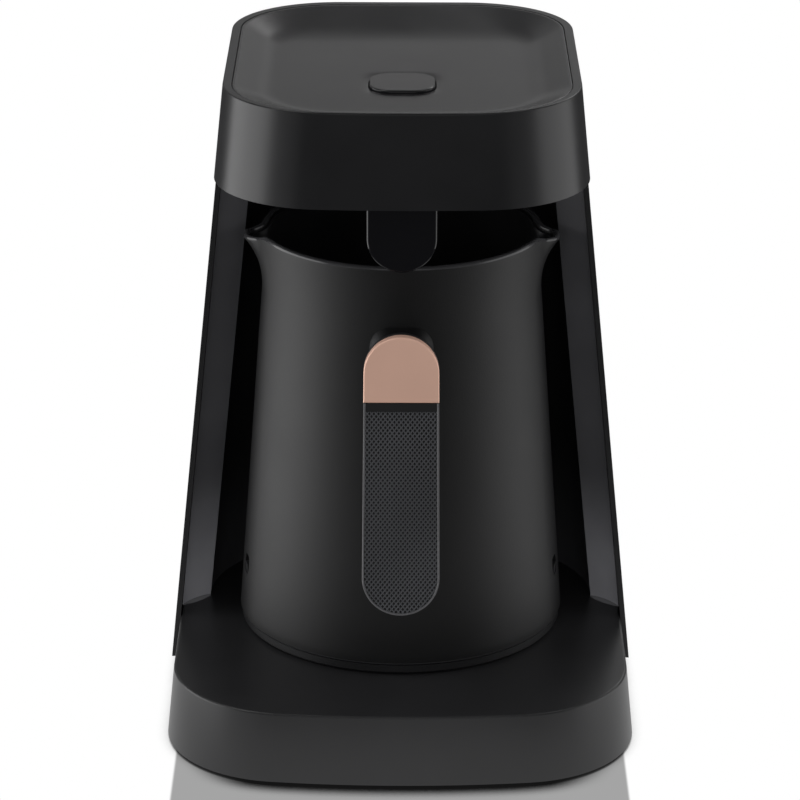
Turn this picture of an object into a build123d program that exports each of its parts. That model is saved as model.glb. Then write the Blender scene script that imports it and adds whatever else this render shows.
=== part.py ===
from build123d import *
from math import asin, atan2, cos, pi, radians, sin, sqrt
import os

# Electric Turkish coffee maker: a base, a tower with a niche, an overhanging head,
# and a lift-out brewing pot with its own heater.
# Millimetres. +Z is up and the front is -Y. The origin is on the table, on the
# pot's axis, which is also the middle of the footprint.

# ------------------------------------------------------------------ driving sizes

# The pot comes first: the niche, the tower and the base are measured out from it.
OVERALL_HEIGHT = 231.0
POT_FOOT_RADIUS = 57.5
POT_RING_INSET = 0.7
POT_RING_HEIGHT = 3.5
POT_DRAFT = 0.0742
POT_WALL = 2.2
POT_HEADROOM = 27.0
NECK_HEIGHT = 22.0
RIM_FLARE = 0.9
RIM_DIP = 3.0
SPOUT_REACH = 9.0
SPOUT_HEIGHT = 20.0
SPOUT_HALF_ANGLE = 34.0

# Room round the pot
NICHE_SIDE_ROOM = 11.5
NICHE_BACK_ROOM = 6.0
NICHE_LEAN = 9.0
NICHE_CORNER_SHARE = 0.72
STRIP_WIDTH = 11.58
STRIP_FRONT = 2.8
STRIP_BEVEL = 9.2
TOWER_BAY = 28.3

# Body envelope: one tapering block
HEAD_SETBACK = 22.0
SIDE_DRAFT = 0.102
BACK_DRAFT = 0.0685
HEAD_FRONT_DRAFT = 0.072
BASE_FRONT_DRAFT = 0.049
HEAD_CORNER_RADIUS = 37.2
CORNER_SPREAD = 0.031
BASE_BOW_RADIUS = 360.0
HEAD_BOW_RADIUS = 420.0

# Levels
BASE_BOTTOM = 1.3
BASE_HEIGHT = 25.0
SHELL_RISE = 9.2
HEAD_HEIGHT = 32.0

# Walls and clearances
BASE_WALL = 2.2
BASE_EDGE_ROUND = 0.8
SHELL_WALL = 1.8
HEAD_WALL = 2.4
HEAD_EDGE_ROUND = 0.5
LINER_WALL = 2.0
PLATE_THICKNESS = 2.2
FIT_GAP = 0.1
SEAM_GAP = 0.15
MOVING_GAP = 0.3
LEAD_GAP = 0.3

# Tower
SHELL_EDGE_FOOT = 7.0
SHELL_EDGE_HEAD = 1.0
TOWER_BOSS_RADIUS = 4.0
TOWER_BOSS_LENGTH = 13.0
TOWER_BOSS_ANGLE = 52.0
BOSS_ROOT = 1.0
WINDOW_HALF_WIDTH = 22.0
WINDOW_DEPTH = 9.0
WINDOW_BEHIND_NICHE = 6.5

# Head
UNDERSIDE_RECESS = 1.0
PANEL_SEAM_SIDE = 3.0
PANEL_SEAM_BACK = 4.0
PANEL_SEAM_FRONT = 0.9
PANEL_SEAT_DEPTH = 3.4
PANEL_SEAT_LEDGE = 4.0
PANEL_SEAT_THICKNESS = 2.6
PANEL_THICKNESS = 2.2
DISH_DEPTH = 3.0
DISH_EDGE_SIDE = 2.8
DISH_EDGE_BACK = 4.5
DISH_EDGE_FRONT = 1.6
DISH_RUN_SIDE = 11.0
DISH_RUN_BACK = 26.0
DISH_RUN_FRONT = 10.0
BAND_BOSS_RADIUS = 5.0
BAND_BOSS_INSET = 15.1
BAND_BOSS_BACKSET = 1.0

# Button and its switch
BUTTON_WIDTH = 22.0
BUTTON_DEPTH = 23.0
BUTTON_CORNER = 8.0
BUTTON_FRONT = 23.0
BUTTON_PROUD = 1.0
BUTTON_ROUND = 0.6
BUTTON_TRAVEL = 0.8
BUTTON_FLANGE = 1.6
BUTTON_FLANGE_THICKNESS = 1.5
BUTTON_STEM_RADIUS = 2.6
GUIDE_WALL = 1.6
SWITCH_SIZE = 6.2
SWITCH_HEIGHT = 3.6
SWITCH_FLOOR = 0.6
PLUNGER_RADIUS = 1.7
PLUNGER_PROUD = 1.3

# Sensor nose
NOSE_HALF_WIDTH = 11.6
NOSE_DROP = 24.0
NOSE_SETBACK = 5.63
NOSE_DEPTH = 8.0
NOSE_WALL = 1.5
NOSE_ROUND = 0.9
NOSE_FLANGE = 3.0
NOSE_FLANGE_FRONT = 1.5
NOSE_FLANGE_THICKNESS = 1.6
SENSOR_HALF_WIDTH = 7.0
SENSOR_STANDOFF = 1.2
SENSOR_RISE = 6.0
SENSOR_EYE = 4.0
SENSOR_EYE_DEPTH = 0.9

# Control board in the head
BOARD_THICKNESS = 1.6
POST_RADIUS = 3.2
CONTROL_BOARD_WIDTH = 62.0
CONTROL_BOARD_DEPTH = 48.0
CONTROL_BOARD_HEIGHT = 12.0
CONTROL_BOARD_LEAD = 14.0
CONTROL_SCREW_INSET = 4.0
CONTROL_SCREW_LENGTH = 6.0
CHIP_HEIGHT = 1.5
CHIP_WIDTH = 9.0
CHIP_EDGE = 15.0
CHIP_PITCH = 11.0
BUZZER_RADIUS = 6.0
BUZZER_HEIGHT = 5.2
BUZZER_EDGE = 17.0
BUZZER_BACK = 12.0
BUZZER_HOLE = 1.2

# Power board in the tower
POWER_BOARD_WIDTH = 58.0
POWER_BOARD_HEIGHT = 88.0
POWER_BOARD_RISE = 31.7
POWER_BOARD_ROOM = 11.6
POWER_SCREW_INSET = 5.0
POWER_SCREW_LENGTH = 5.5
PART_EDGE = 17.0
RELAY_WIDTH = 19.0
RELAY_HEIGHT = 15.5
RELAY_DEPTH = 12.0
RELAY_LEVEL = 20.0
CAPACITOR_WIDTH = 17.0
CAPACITOR_HEIGHT = 12.0
CAPACITOR_DEPTH = 9.0
CAPACITOR_LEVEL = 22.0
TRANSFORMER_WIDTH = 22.0
TRANSFORMER_HEIGHT = 18.0
TRANSFORMER_DEPTH = 9.5
TRANSFORMER_LEVEL = 50.0
CORE_WIDTH = 12.0
CORE_HEIGHT = 24.0
CORE_DEPTH = 7.0
TERMINAL_PITCH = 7.0
TERMINAL_SLOT = 4.2
TERMINAL_COUNT = 4
TERMINAL_END = 1.2
TERMINAL_HEIGHT = 8.0
TERMINAL_DEPTH = 8.0
TERMINAL_LEVEL = 6.0
TERMINAL_FLOOR = 2.0
PART_ROUND = 0.8
WIRE_RADIUS = 1.5

# Feet, screws and gland
FOOT_RADIUS = 8.0
FOOT_HEIGHT = 2.8
FOOT_INSET_X = 22.0
FOOT_INSET_FRONT = 32.4
FOOT_INSET_BACK = 28.8
FOOT_CHAMFER = 0.6
SCREW_RADIUS = 1.5
SCREW_HEAD_RADIUS = 2.8
SCREW_HEAD_HEIGHT = 1.7
SCREW_LENGTH = 9.0
SCREW_GAP = 0.05
SCREW_TIP_ROOM = 1.0
HEAD_SINK = 0.9
PLATE_INSET = 0.2
BASE_BOSS_RADIUS = 4.0
BASE_SCREW_INSET = 24.0
BASE_SCREW_FRONT = 14.4
BASE_SCREW_HALF_PITCH = 29.7
BASE_SCREW_BACK = 34.0
VENT_WIDTH = 32.0
VENT_SLOT = 2.4
VENT_PITCH = 6.0
VENT_COUNT = 7
GLAND_RISE = 16.2
GLAND_BORE = 3.6
GLAND_BARREL = 6.0
GLAND_COLLAR = 6.4
GLAND_COLLAR_DEPTH = 2.4
GLAND_PROUD = 0.4
GLAND_SEAT = 0.8
GLAND_ROUND = 0.6
GLAND_LENGTH = 12.0

# Contacts between base and pot
STAND_GAP = 0.2
CARRIER_RADIUS = 21.0
CARRIER_FLANGE = 4.0
CARRIER_FLANGE_THICKNESS = 2.0
CARRIER_EAR = 4.5
CARRIER_SCREW_REACH = 7.6
CARRIER_SCREW_LENGTH = 6.5
CARRIER_BOSS_LENGTH = 7.0
CARRIER_DEPTH = 13.0
CARRIER_ROOF = 2.2
CARRIER_FLOOR = 3.0
PIN_RADIUS = 1.6
PIN_LENGTH = 9.0
PIN_REACH = 0.15
PIN_COLLAR = 2.6
PIN_COLLAR_HEIGHT = 1.2
SPRING_WIRE = 0.22
SPRING_GAP = 0.45
SPRING_TURNS = 4
RING_RADIUS = 9.5
OUTER_RING_RADIUS = 16.5
CONTACT_BAND = 3.0
CONTACT_THICKNESS = 1.2

# Vessel and bottom cup
VESSEL_WALL = 0.9
VESSEL_FLOOR_RISE = 27.7
VESSEL_DRAFT = 0.02
VESSEL_CORNER = 9.0
SEAL_HEIGHT = 3.0
SEAL_DROP = 14.0
LATCH_ANGLE = 78.0
LATCH_RISE = 21.2
LATCH_WIDTH = 6.0
LATCH_HEIGHT = 4.2
LATCH_GAP = 0.2
CUP_WALL = 1.8
CUP_FLOOR = 2.4
CUP_CHAMFER = 0.9
SKIRT_ABOVE_LATCH = 2.0
POT_POST_INSET = 3.2
POT_POST_RADIUS = 4.2
POT_SCREW_REACH = 5.5
POT_SCREW_LENGTH = 8.0

# Heater
HEATER_PLATE_INSET = 19.5
HEATER_PLATE_THICKNESS = 4.0
ELEMENT_INSET = 11.0
ELEMENT_TUBE = 3.2
ELEMENT_SWEEP = 310.0
ELEMENT_PIN = 1.3
ELEMENT_PIN_LENGTH = 9.0
THERMOSTAT_RADIUS = 6.5
THERMOSTAT_HEIGHT = 5.0
THERMOSTAT_EAR = 4.5
THERMOSTAT_EAR_WIDTH = 3.2
THERMOSTAT_EAR_THICKNESS = 0.8

# Handle
HANDLE_RISE = 35.7
HANDLE_DROP = 15.0
HANDLE_TOP_RADIUS = 12.45
HANDLE_BOTTOM_RADIUS = 13.0
HANDLE_THICKNESS = 9.6
HANDLE_BACK_ROUND = 3.0
GRIP_BORDER = 0.9
GRIP_THICKNESS = 2.2
CAP_LENGTH = 22.2
CAP_THICKNESS = 4.0
CAP_ROUND = 0.5
ARM_WIDTH = 17.0
ARM_HEIGHT = 19.0
ARM_CORNER = 5.0
ARM_DROP = 15.0
HANDLE_SCREW_PITCH = 9.0
HANDLE_SCREW_LENGTH = 12.0

# Fineness of the pot's sections
SECTION_POINTS = 48
FLOOR_STEPS = 5
NECK_STEPS = 9

# Sizes that follow from those above
BASE_TOP = BASE_BOTTOM + BASE_HEIGHT
SHELL_BOTTOM = BASE_BOTTOM + SHELL_RISE
HEAD_BOTTOM = OVERALL_HEIGHT - HEAD_HEIGHT
POT_RIM = HEAD_BOTTOM - POT_HEADROOM
POT_NECK = POT_RIM - NECK_HEIGHT
NICHE_FOOT_HALF_WIDTH = POT_FOOT_RADIUS + NICHE_SIDE_ROOM
NICHE_FOOT_DEPTH = POT_FOOT_RADIUS + NICHE_BACK_ROOM
NICHE_HEAD_DEPTH = NICHE_FOOT_DEPTH - NICHE_LEAN
BODY_HALF_WIDTH = NICHE_FOOT_HALF_WIDTH + STRIP_WIDTH
BODY_HALF_DEPTH = NICHE_FOOT_DEPTH + TOWER_BAY
VESSEL_FLOOR = BASE_TOP + VESSEL_FLOOR_RISE
LATCH_LEVEL = BASE_TOP + LATCH_RISE
GLAND_HEIGHT = BASE_BOTTOM + GLAND_RISE
SCREW_DEPTH = SCREW_LENGTH + SCREW_TIP_ROOM

os.makedirs("parts", exist_ok=True)


def keep(name, shape):
    """Write one named piece."""
    export_step(shape, f"parts/{name}.step")


# ------------------------------------------------------------------ body envelope


def side(z):
    """Half-width of the outer block at height z."""
    return BODY_HALF_WIDTH - SIDE_DRAFT * (z - BASE_TOP)


def back(z):
    """Distance from the pot axis to the back face at height z."""
    return BODY_HALF_DEPTH - BACK_DRAFT * (z - SHELL_BOTTOM)


def corner(z):
    """Vertical corner radius of the outer block at height z."""
    return HEAD_CORNER_RADIUS + CORNER_SPREAD * (OVERALL_HEIGHT - z)


def head_front(z):
    """Distance from the pot axis to the head's front face at height z."""
    return BODY_HALF_DEPTH - HEAD_SETBACK + HEAD_FRONT_DRAFT * (OVERALL_HEIGHT - z)


def base_front(z):
    """Distance from the pot axis to the base's front face at height z."""
    return BODY_HALF_DEPTH - BASE_FRONT_DRAFT * (z - BASE_BOTTOM)


def plan(z, half_width, front, rear, front_radius, rear_radius, bow):
    """Closed plan outline at height z: straight sides, bowed front, rounded corners."""
    inset = half_width - front_radius
    bow_centre = bow - front
    reach = bow - front_radius
    corner_y = bow_centre - sqrt(reach**2 - inset**2)
    joint_x = inset * bow / reach
    joint_y = bow_centre + (corner_y - bow_centre) * bow / reach
    turn = atan2(joint_y - corner_y, joint_x - inset) / 2
    front_x = inset + front_radius * cos(turn)
    front_y = corner_y + front_radius * sin(turn)
    rear_x = half_width - rear_radius * (1 - cos(pi / 4))
    rear_y = rear - rear_radius * (1 - sin(pi / 4))
    rear_turn = rear - rear_radius
    rear_inset = half_width - rear_radius
    edges = [
        ThreePointArc((-joint_x, joint_y, z), (0, -front, z), (joint_x, joint_y, z)),
        ThreePointArc((joint_x, joint_y, z), (front_x, front_y, z), (half_width, corner_y, z)),
        Line((half_width, corner_y, z), (half_width, rear_turn, z)),
        ThreePointArc((half_width, rear_turn, z), (rear_x, rear_y, z), (rear_inset, rear, z)),
        Line((rear_inset, rear, z), (-rear_inset, rear, z)),
        ThreePointArc((-rear_inset, rear, z), (-rear_x, rear_y, z), (-half_width, rear_turn, z)),
        Line((-half_width, rear_turn, z), (-half_width, corner_y, z)),
        ThreePointArc((-half_width, corner_y, z), (-front_x, front_y, z), (-joint_x, joint_y, z)),
    ]
    return Face(Wire(edges))


def base_plan(z, inset=0.0):
    """Outline of the base, which stands one shell wall inside the tower's skin."""
    step = SHELL_WALL + FIT_GAP + inset
    radius = corner(z) - step
    bow = BASE_BOW_RADIUS - inset
    return plan(z, side(z) - step, base_front(z) - inset, back(z) - step, radius, radius, bow)


def tower_plan(z, inset=0.0):
    """Outline of the tower's skin; its front half is cut away later."""
    radius = corner(z) - inset
    bow = HEAD_BOW_RADIUS
    return plan(z, side(z) - inset, head_front(z) - inset, back(z) - inset, radius, radius, bow)


def head_plan(z, side_inset=0.0, front_inset=None, rear_inset=None):
    """Outline of the head, set in by its own amount at the sides, front and back."""
    front_inset = side_inset if front_inset is None else front_inset
    rear_inset = side_inset if rear_inset is None else rear_inset
    return plan(
        z,
        side(z) - side_inset,
        head_front(z) - front_inset,
        back(z) - rear_inset,
        corner(z) - (side_inset + front_inset) / 2,
        corner(z) - (side_inset + rear_inset) / 2,
        HEAD_BOW_RADIUS - front_inset,
    )


def block(z0, z1, outline, *insets):
    """Solid between two heights of one tapering outline."""
    return loft([outline(z0, *insets), outline(z1, *insets)], ruled=True)


def rod(x, y, z0, z1, radius):
    """Upright cylinder between two heights."""
    return Pos(x, y, (z0 + z1) / 2) * Cylinder(radius, abs(z1 - z0))


def cuboid(x0, x1, y0, y1, z0, z1):
    """Box between two opposite corners."""
    return Pos((x0 + x1) / 2, (y0 + y1) / 2, (z0 + z1) / 2) * Box(x1 - x0, y1 - y0, z1 - z0)


def upright_screw(x, y, head_face, direction, length=SCREW_LENGTH):
    """Pan-head screw with its head's outer face at head_face, driven along +Z or -Z."""
    seat = head_face + direction * SCREW_HEAD_HEIGHT
    head = rod(x, y, head_face, seat, SCREW_HEAD_RADIUS)
    shank = rod(x, y, seat, seat + direction * length, SCREW_RADIUS)
    drive = rod(x, y, head_face, head_face + direction * SCREW_HEAD_HEIGHT * 0.6, SCREW_RADIUS * 0.8)
    return head + shank - drive


# ------------------------------------------------------------------ niche and liner


def niche_half_width(z):
    """Half-width of the niche at height z: it leans with the outer sides."""
    return NICHE_FOOT_HALF_WIDTH - SIDE_DRAFT * (z - BASE_TOP)


def niche_depth(z):
    """Distance from the pot axis to the niche's back wall at height z."""
    lean = (NICHE_FOOT_DEPTH - NICHE_HEAD_DEPTH) / (HEAD_BOTTOM - BASE_TOP)
    return NICHE_FOOT_DEPTH - lean * (z - BASE_TOP)


def niche_plan(z, inset=0.0):
    """Everything in front of the liner's front face, set back by inset."""
    strip_x = side(z) - SHELL_WALL
    half = niche_half_width(z) + inset
    rear = niche_depth(z) + inset
    radius = NICHE_CORNER_SHARE * niche_half_width(z) + inset
    strip_y = STRIP_FRONT + inset * sqrt(2)
    bevel_y = STRIP_FRONT + STRIP_BEVEL + inset * 0.4
    far = 1.6 * side(BASE_BOTTOM)
    arc_x = half - radius * (1 - cos(pi / 4))
    arc_y = rear - radius * (1 - sin(pi / 4))
    right = [(far, -far, z), (far, strip_y, z), (strip_x, strip_y, z)]
    right += [(half, bevel_y, z), (half, rear - radius, z)]
    left = [(-x, y, level) for x, y, level in reversed(right)]
    edges = [Line(a, b) for a, b in zip(right, right[1:])]
    edges.append(ThreePointArc(right[-1], (arc_x, arc_y, z), (half - radius, rear, z)))
    edges.append(Line((half - radius, rear, z), (radius - half, rear, z)))
    edges.append(ThreePointArc((radius - half, rear, z), (-arc_x, arc_y, z), left[0]))
    edges += [Line(a, b) for a, b in zip(left, left[1:])]
    edges.append(Line(left[-1], right[0]))
    return Face(Wire(edges))


def tower_boss_places(z):
    """Where the liner's two screw bosses stand at height z, behind its curved corners."""
    radius = NICHE_CORNER_SHARE * niche_half_width(z)
    reach = radius + LINER_WALL + TOWER_BOSS_RADIUS - BOSS_ROOT
    x = niche_half_width(z) - radius + reach * cos(radians(TOWER_BOSS_ANGLE))
    y = niche_depth(z) - radius + reach * sin(radians(TOWER_BOSS_ANGLE))
    return [(x, y), (-x, y)]


UNDERSIDE_BOTTOM = HEAD_BOTTOM + UNDERSIDE_RECESS
UNDERSIDE_TOP = UNDERSIDE_BOTTOM + PLATE_THICKNESS
LINER_TOP = UNDERSIDE_BOTTOM - FIT_GAP / 2


def lead_window(niche_rear):
    """Opening for the leads behind the niche, as two opposite corners in plan."""
    front = niche_rear + WINDOW_BEHIND_NICHE
    return -WINDOW_HALF_WIDTH, WINDOW_HALF_WIDTH, front, front + WINDOW_DEPTH


WIRE_WINDOW = lead_window(NICHE_FOOT_DEPTH)
HEAD_WINDOW = lead_window(NICHE_HEAD_DEPTH)
POWER_BOARD_BOTTOM = BASE_TOP + POWER_BOARD_RISE
POWER_BOARD_TOP = POWER_BOARD_BOTTOM + POWER_BOARD_HEIGHT
POWER_BOARD_FRONT = back(POWER_BOARD_TOP) - SHELL_WALL - POWER_BOARD_ROOM - BOARD_THICKNESS


def rear_rod(x, rear, z, radius, length):
    """Level cylinder that runs forward from its rear end."""
    return Pos(x, rear - length / 2, z) * Rot(X=90) * Cylinder(radius, length)


liner_core = block(BASE_TOP, LINER_TOP, tower_plan, SHELL_WALL + FIT_GAP)
niche = block(BASE_TOP, LINER_TOP, niche_plan)
behind_liner = block(BASE_TOP, LINER_TOP, niche_plan, LINER_WALL)
tower_liner = (liner_core & behind_liner) - niche

post_x = POWER_BOARD_WIDTH / 2 - POWER_SCREW_INSET
post_levels = (POWER_BOARD_BOTTOM + POWER_SCREW_INSET, POWER_BOARD_TOP - POWER_SCREW_INSET)
board_posts = [(x, z) for x in (-post_x, post_x) for z in post_levels]
for x, z in board_posts:
    tower_liner += rear_rod(x, POWER_BOARD_FRONT, z, POST_RADIUS, POWER_BOARD_FRONT) - behind_liner
for x, y in tower_boss_places(BASE_TOP):
    tower_liner += rod(x, y, BASE_TOP, BASE_TOP + TOWER_BOSS_LENGTH, TOWER_BOSS_RADIUS) - behind_liner
    tower_liner -= rod(x, y, BASE_TOP, BASE_TOP + SCREW_DEPTH, SCREW_RADIUS + SCREW_GAP)
for x, y in tower_boss_places(LINER_TOP):
    tower_liner += rod(x, y, LINER_TOP - TOWER_BOSS_LENGTH, LINER_TOP, TOWER_BOSS_RADIUS) - behind_liner
    tower_liner -= rod(x, y, LINER_TOP - SCREW_DEPTH, LINER_TOP, SCREW_RADIUS + SCREW_GAP)
hole_depth = POWER_SCREW_LENGTH - SCREW_TIP_ROOM
for x, z in board_posts:
    tower_liner -= rear_rod(x, POWER_BOARD_FRONT, z, SCREW_RADIUS + SCREW_GAP, hole_depth)
tower_skin = block(HEAD_BOTTOM - FIT_GAP, LINER_TOP + 1, tower_plan, SHELL_WALL)
tower_liner -= tower_skin - block(HEAD_BOTTOM - FIT_GAP, LINER_TOP + 1, head_plan, HEAD_WALL + SEAM_GAP)
keep("tower_liner", tower_liner)

# ------------------------------------------------------------------ outer shell

shell = block(SHELL_BOTTOM, HEAD_BOTTOM, tower_plan)
shell -= block(SHELL_BOTTOM, HEAD_BOTTOM, tower_plan, SHELL_WALL)
far = 2 * BODY_HALF_DEPTH
front_cut = Polyline(
    (-far, SHELL_BOTTOM),
    (-SHELL_EDGE_FOOT, SHELL_BOTTOM),
    (-SHELL_EDGE_HEAD, HEAD_BOTTOM),
    (-far, HEAD_BOTTOM),
    (-far, SHELL_BOTTOM),
)
front_face = Plane.YZ * make_face(front_cut)
outer_shell = shell - extrude(front_face, amount=far, both=True)
gland_hole = rear_rod(0, far, GLAND_HEIGHT, GLAND_BARREL + FIT_GAP, far - back(GLAND_HEIGHT) + GLAND_LENGTH)
outer_shell -= gland_hole
keep("outer_shell", outer_shell)

# ------------------------------------------------------------------ base

base_solid = block(BASE_BOTTOM, BASE_TOP, base_plan)
base_solid = fillet(base_solid.edges().group_by(Axis.Z)[-1], BASE_EDGE_ROUND)
base_ceiling = BASE_TOP - PLATE_THICKNESS
base_shell = base_solid - block(BASE_BOTTOM - 1, base_ceiling, base_plan, BASE_WALL)
base_shell -= rod(0, 0, base_ceiling, BASE_TOP, CARRIER_RADIUS + FIT_GAP)
base_shell -= cuboid(*WIRE_WINDOW, base_ceiling, BASE_TOP)
base_shell -= gland_hole

PLATE_BOTTOM = BASE_BOTTOM + PLATE_INSET
PLATE_TOP = PLATE_BOTTOM + PLATE_THICKNESS
boss_side = side(BASE_BOTTOM) - BASE_SCREW_INSET
boss_front = BASE_SCREW_FRONT - base_front(BASE_BOTTOM)
base_boss_places = [(sign * BASE_SCREW_HALF_PITCH, boss_front) for sign in (-1, 1)]
base_boss_places += [(sign * boss_side, BASE_SCREW_BACK) for sign in (-1, 1)]
for x, y in base_boss_places:
    base_shell += rod(x, y, PLATE_TOP, base_ceiling, BASE_BOSS_RADIUS)
    base_shell -= rod(x, y, PLATE_TOP, PLATE_TOP + SCREW_DEPTH, SCREW_RADIUS + SCREW_GAP)
for x, y in tower_boss_places(BASE_TOP):
    base_shell -= rod(x, y, base_ceiling, BASE_TOP, SCREW_RADIUS + SCREW_GAP)

# The contact carrier hangs from three bosses under the base's top.
CARRIER_SCREW_CIRCLE = CARRIER_RADIUS + CARRIER_SCREW_REACH


def around(radius, first, count):
    """Evenly spaced places on a circle about the pot's axis."""
    turns = [radians(first + 360 * step / count) for step in range(count)]
    return [(radius * cos(turn), radius * sin(turn)) for turn in turns]


carrier_screw_places = around(CARRIER_SCREW_CIRCLE, 30, 3)
carrier_boss_bottom = base_ceiling - CARRIER_BOSS_LENGTH
for x, y in carrier_screw_places:
    base_shell += rod(x, y, carrier_boss_bottom, base_ceiling, BASE_BOSS_RADIUS)
    base_shell -= rod(x, y, carrier_boss_bottom, base_ceiling - SCREW_TIP_ROOM, SCREW_RADIUS + SCREW_GAP)
keep("base_shell", base_shell)

base_plate = block(PLATE_BOTTOM, PLATE_TOP - FIT_GAP, base_plan, BASE_WALL + SEAM_GAP)
foot_x = side(BASE_BOTTOM) - FOOT_INSET_X
foot_rows = (FOOT_INSET_FRONT - base_front(BASE_BOTTOM), back(BASE_BOTTOM) - FOOT_INSET_BACK)
foot_places = [(x, y) for x in (-foot_x, foot_x) for y in foot_rows]
for x, y in foot_places:
    base_plate -= rod(x, y, PLATE_BOTTOM, FOOT_HEIGHT, FOOT_RADIUS + FIT_GAP)
for x, y in base_boss_places:
    base_plate -= rod(x, y, PLATE_BOTTOM, PLATE_TOP, SCREW_RADIUS + SCREW_GAP)
    base_plate -= rod(x, y, PLATE_BOTTOM, PLATE_BOTTOM + HEAD_SINK, SCREW_HEAD_RADIUS + FIT_GAP)
for row in range(VENT_COUNT):
    vent_y = (row - VENT_COUNT // 2) * VENT_PITCH
    slot = (vent_y - VENT_SLOT / 2, vent_y + VENT_SLOT / 2)
    base_plate -= cuboid(-VENT_WIDTH / 2, VENT_WIDTH / 2, *slot, PLATE_BOTTOM, PLATE_TOP)
keep("base_plate", base_plate)

feet = []
for x, y in foot_places:
    foot = rod(x, y, 0, FOOT_HEIGHT - FIT_GAP / 2, FOOT_RADIUS)
    feet.append(chamfer(foot.edges().group_by(Axis.Z)[0], FOOT_CHAMFER))
keep("rubber_feet", Compound(children=feet))

head_face = PLATE_BOTTOM + HEAD_SINK - SCREW_HEAD_HEIGHT
base_screws = [upright_screw(x, y, head_face, 1) for x, y in base_boss_places]
keep("base_screws", Compound(children=base_screws))

# ------------------------------------------------------------------ contacts in the base

PIN_TOP = BASE_TOP + PIN_REACH
CONTACT_RADII = (0.0, RING_RADIUS, OUTER_RING_RADIUS)
pin_places = [(0.0, 0.0), (-RING_RADIUS - CONTACT_BAND / 2, 0.0), (OUTER_RING_RADIUS + CONTACT_BAND / 2, 0.0)]
CARRIER_BOTTOM = BASE_TOP - CARRIER_DEPTH
PIN_COLLAR_TOP = BASE_TOP - CARRIER_ROOF - FIT_GAP

carrier = rod(0, 0, CARRIER_BOTTOM, BASE_TOP, CARRIER_RADIUS)
flange_top = carrier_boss_bottom - FIT_GAP / 2
flange_bottom = flange_top - CARRIER_FLANGE_THICKNESS
carrier += rod(0, 0, flange_bottom, flange_top, CARRIER_RADIUS + CARRIER_FLANGE)
for x, y in carrier_screw_places:
    carrier += rod(x, y, flange_bottom, flange_top, CARRIER_EAR)
    carrier -= rod(x, y, flange_bottom, flange_top, SCREW_RADIUS + SCREW_GAP)
for x, y in pin_places:
    carrier -= rod(x, y, CARRIER_BOTTOM, BASE_TOP, PIN_RADIUS + FIT_GAP)
    carrier -= rod(x, y, CARRIER_BOTTOM + CARRIER_FLOOR, BASE_TOP - CARRIER_ROOF, PIN_COLLAR + FIT_GAP)
keep("contact_carrier", carrier)

head_face = flange_bottom - SCREW_HEAD_HEIGHT
carrier_screws = [upright_screw(x, y, head_face, 1, CARRIER_SCREW_LENGTH) for x, y in carrier_screw_places]
keep("carrier_screws", Compound(children=carrier_screws))

pins = []
for x, y in pin_places:
    pin = rod(x, y, PIN_TOP - PIN_LENGTH, PIN_TOP, PIN_RADIUS)
    pin = fillet(pin.edges().group_by(Axis.Z)[-1], PIN_RADIUS * 0.5)
    pins.append(pin + rod(x, y, PIN_COLLAR_TOP - PIN_COLLAR_HEIGHT, PIN_COLLAR_TOP, PIN_COLLAR))
keep("contact_pins", Compound(children=pins))

spring_bottom = CARRIER_BOTTOM + CARRIER_FLOOR + SPRING_WIRE + FIT_GAP / 2
spring_length = PIN_COLLAR_TOP - PIN_COLLAR_HEIGHT - SPRING_WIRE - FIT_GAP / 2 - spring_bottom
springs = []
for x, y in pin_places:
    coil = Helix(spring_length / SPRING_TURNS, spring_length, PIN_RADIUS + SPRING_GAP)
    start = Plane(origin=coil @ 0, z_dir=coil % 0)
    wire = sweep(start * Circle(SPRING_WIRE), path=coil)
    springs.append(Pos(x, y, spring_bottom) * wire)
keep("contact_springs", Compound(children=springs))

# ------------------------------------------------------------------ cord gland

gland_outer = back(GLAND_HEIGHT) + GLAND_PROUD
gland_inner_wall = back(GLAND_HEIGHT) - SHELL_WALL - BASE_WALL - FIT_GAP
collar_rear = gland_inner_wall - GLAND_SEAT
gland = rear_rod(0, gland_outer, GLAND_HEIGHT, GLAND_BARREL, GLAND_LENGTH)
gland += rear_rod(0, collar_rear, GLAND_HEIGHT, GLAND_COLLAR, GLAND_COLLAR_DEPTH)
gland = fillet(gland.edges().group_by(Axis.Y)[-1], GLAND_ROUND)
gland -= rear_rod(0, far, GLAND_HEIGHT, GLAND_BORE, 2 * far)
keep("cord_gland", gland)

# ------------------------------------------------------------------ head

band = block(HEAD_BOTTOM, OVERALL_HEIGHT, head_plan)
band = fillet(band.edges().group_by(Axis.Z)[-1], HEAD_EDGE_ROUND)
SEAT_TOP = OVERALL_HEIGHT - PANEL_SEAT_DEPTH
SEAT_BOTTOM = SEAT_TOP - PANEL_SEAT_THICKNESS
seam = (PANEL_SEAM_SIDE, PANEL_SEAM_FRONT, PANEL_SEAM_BACK)
ledge = tuple(inset + PANEL_SEAT_LEDGE for inset in seam)
head_band = band - block(HEAD_BOTTOM, SEAT_BOTTOM, head_plan, HEAD_WALL)
head_band -= block(SEAT_BOTTOM, SEAT_TOP, head_plan, *ledge)
head_band -= block(SEAT_TOP, OVERALL_HEIGHT, head_plan, *seam)

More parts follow.
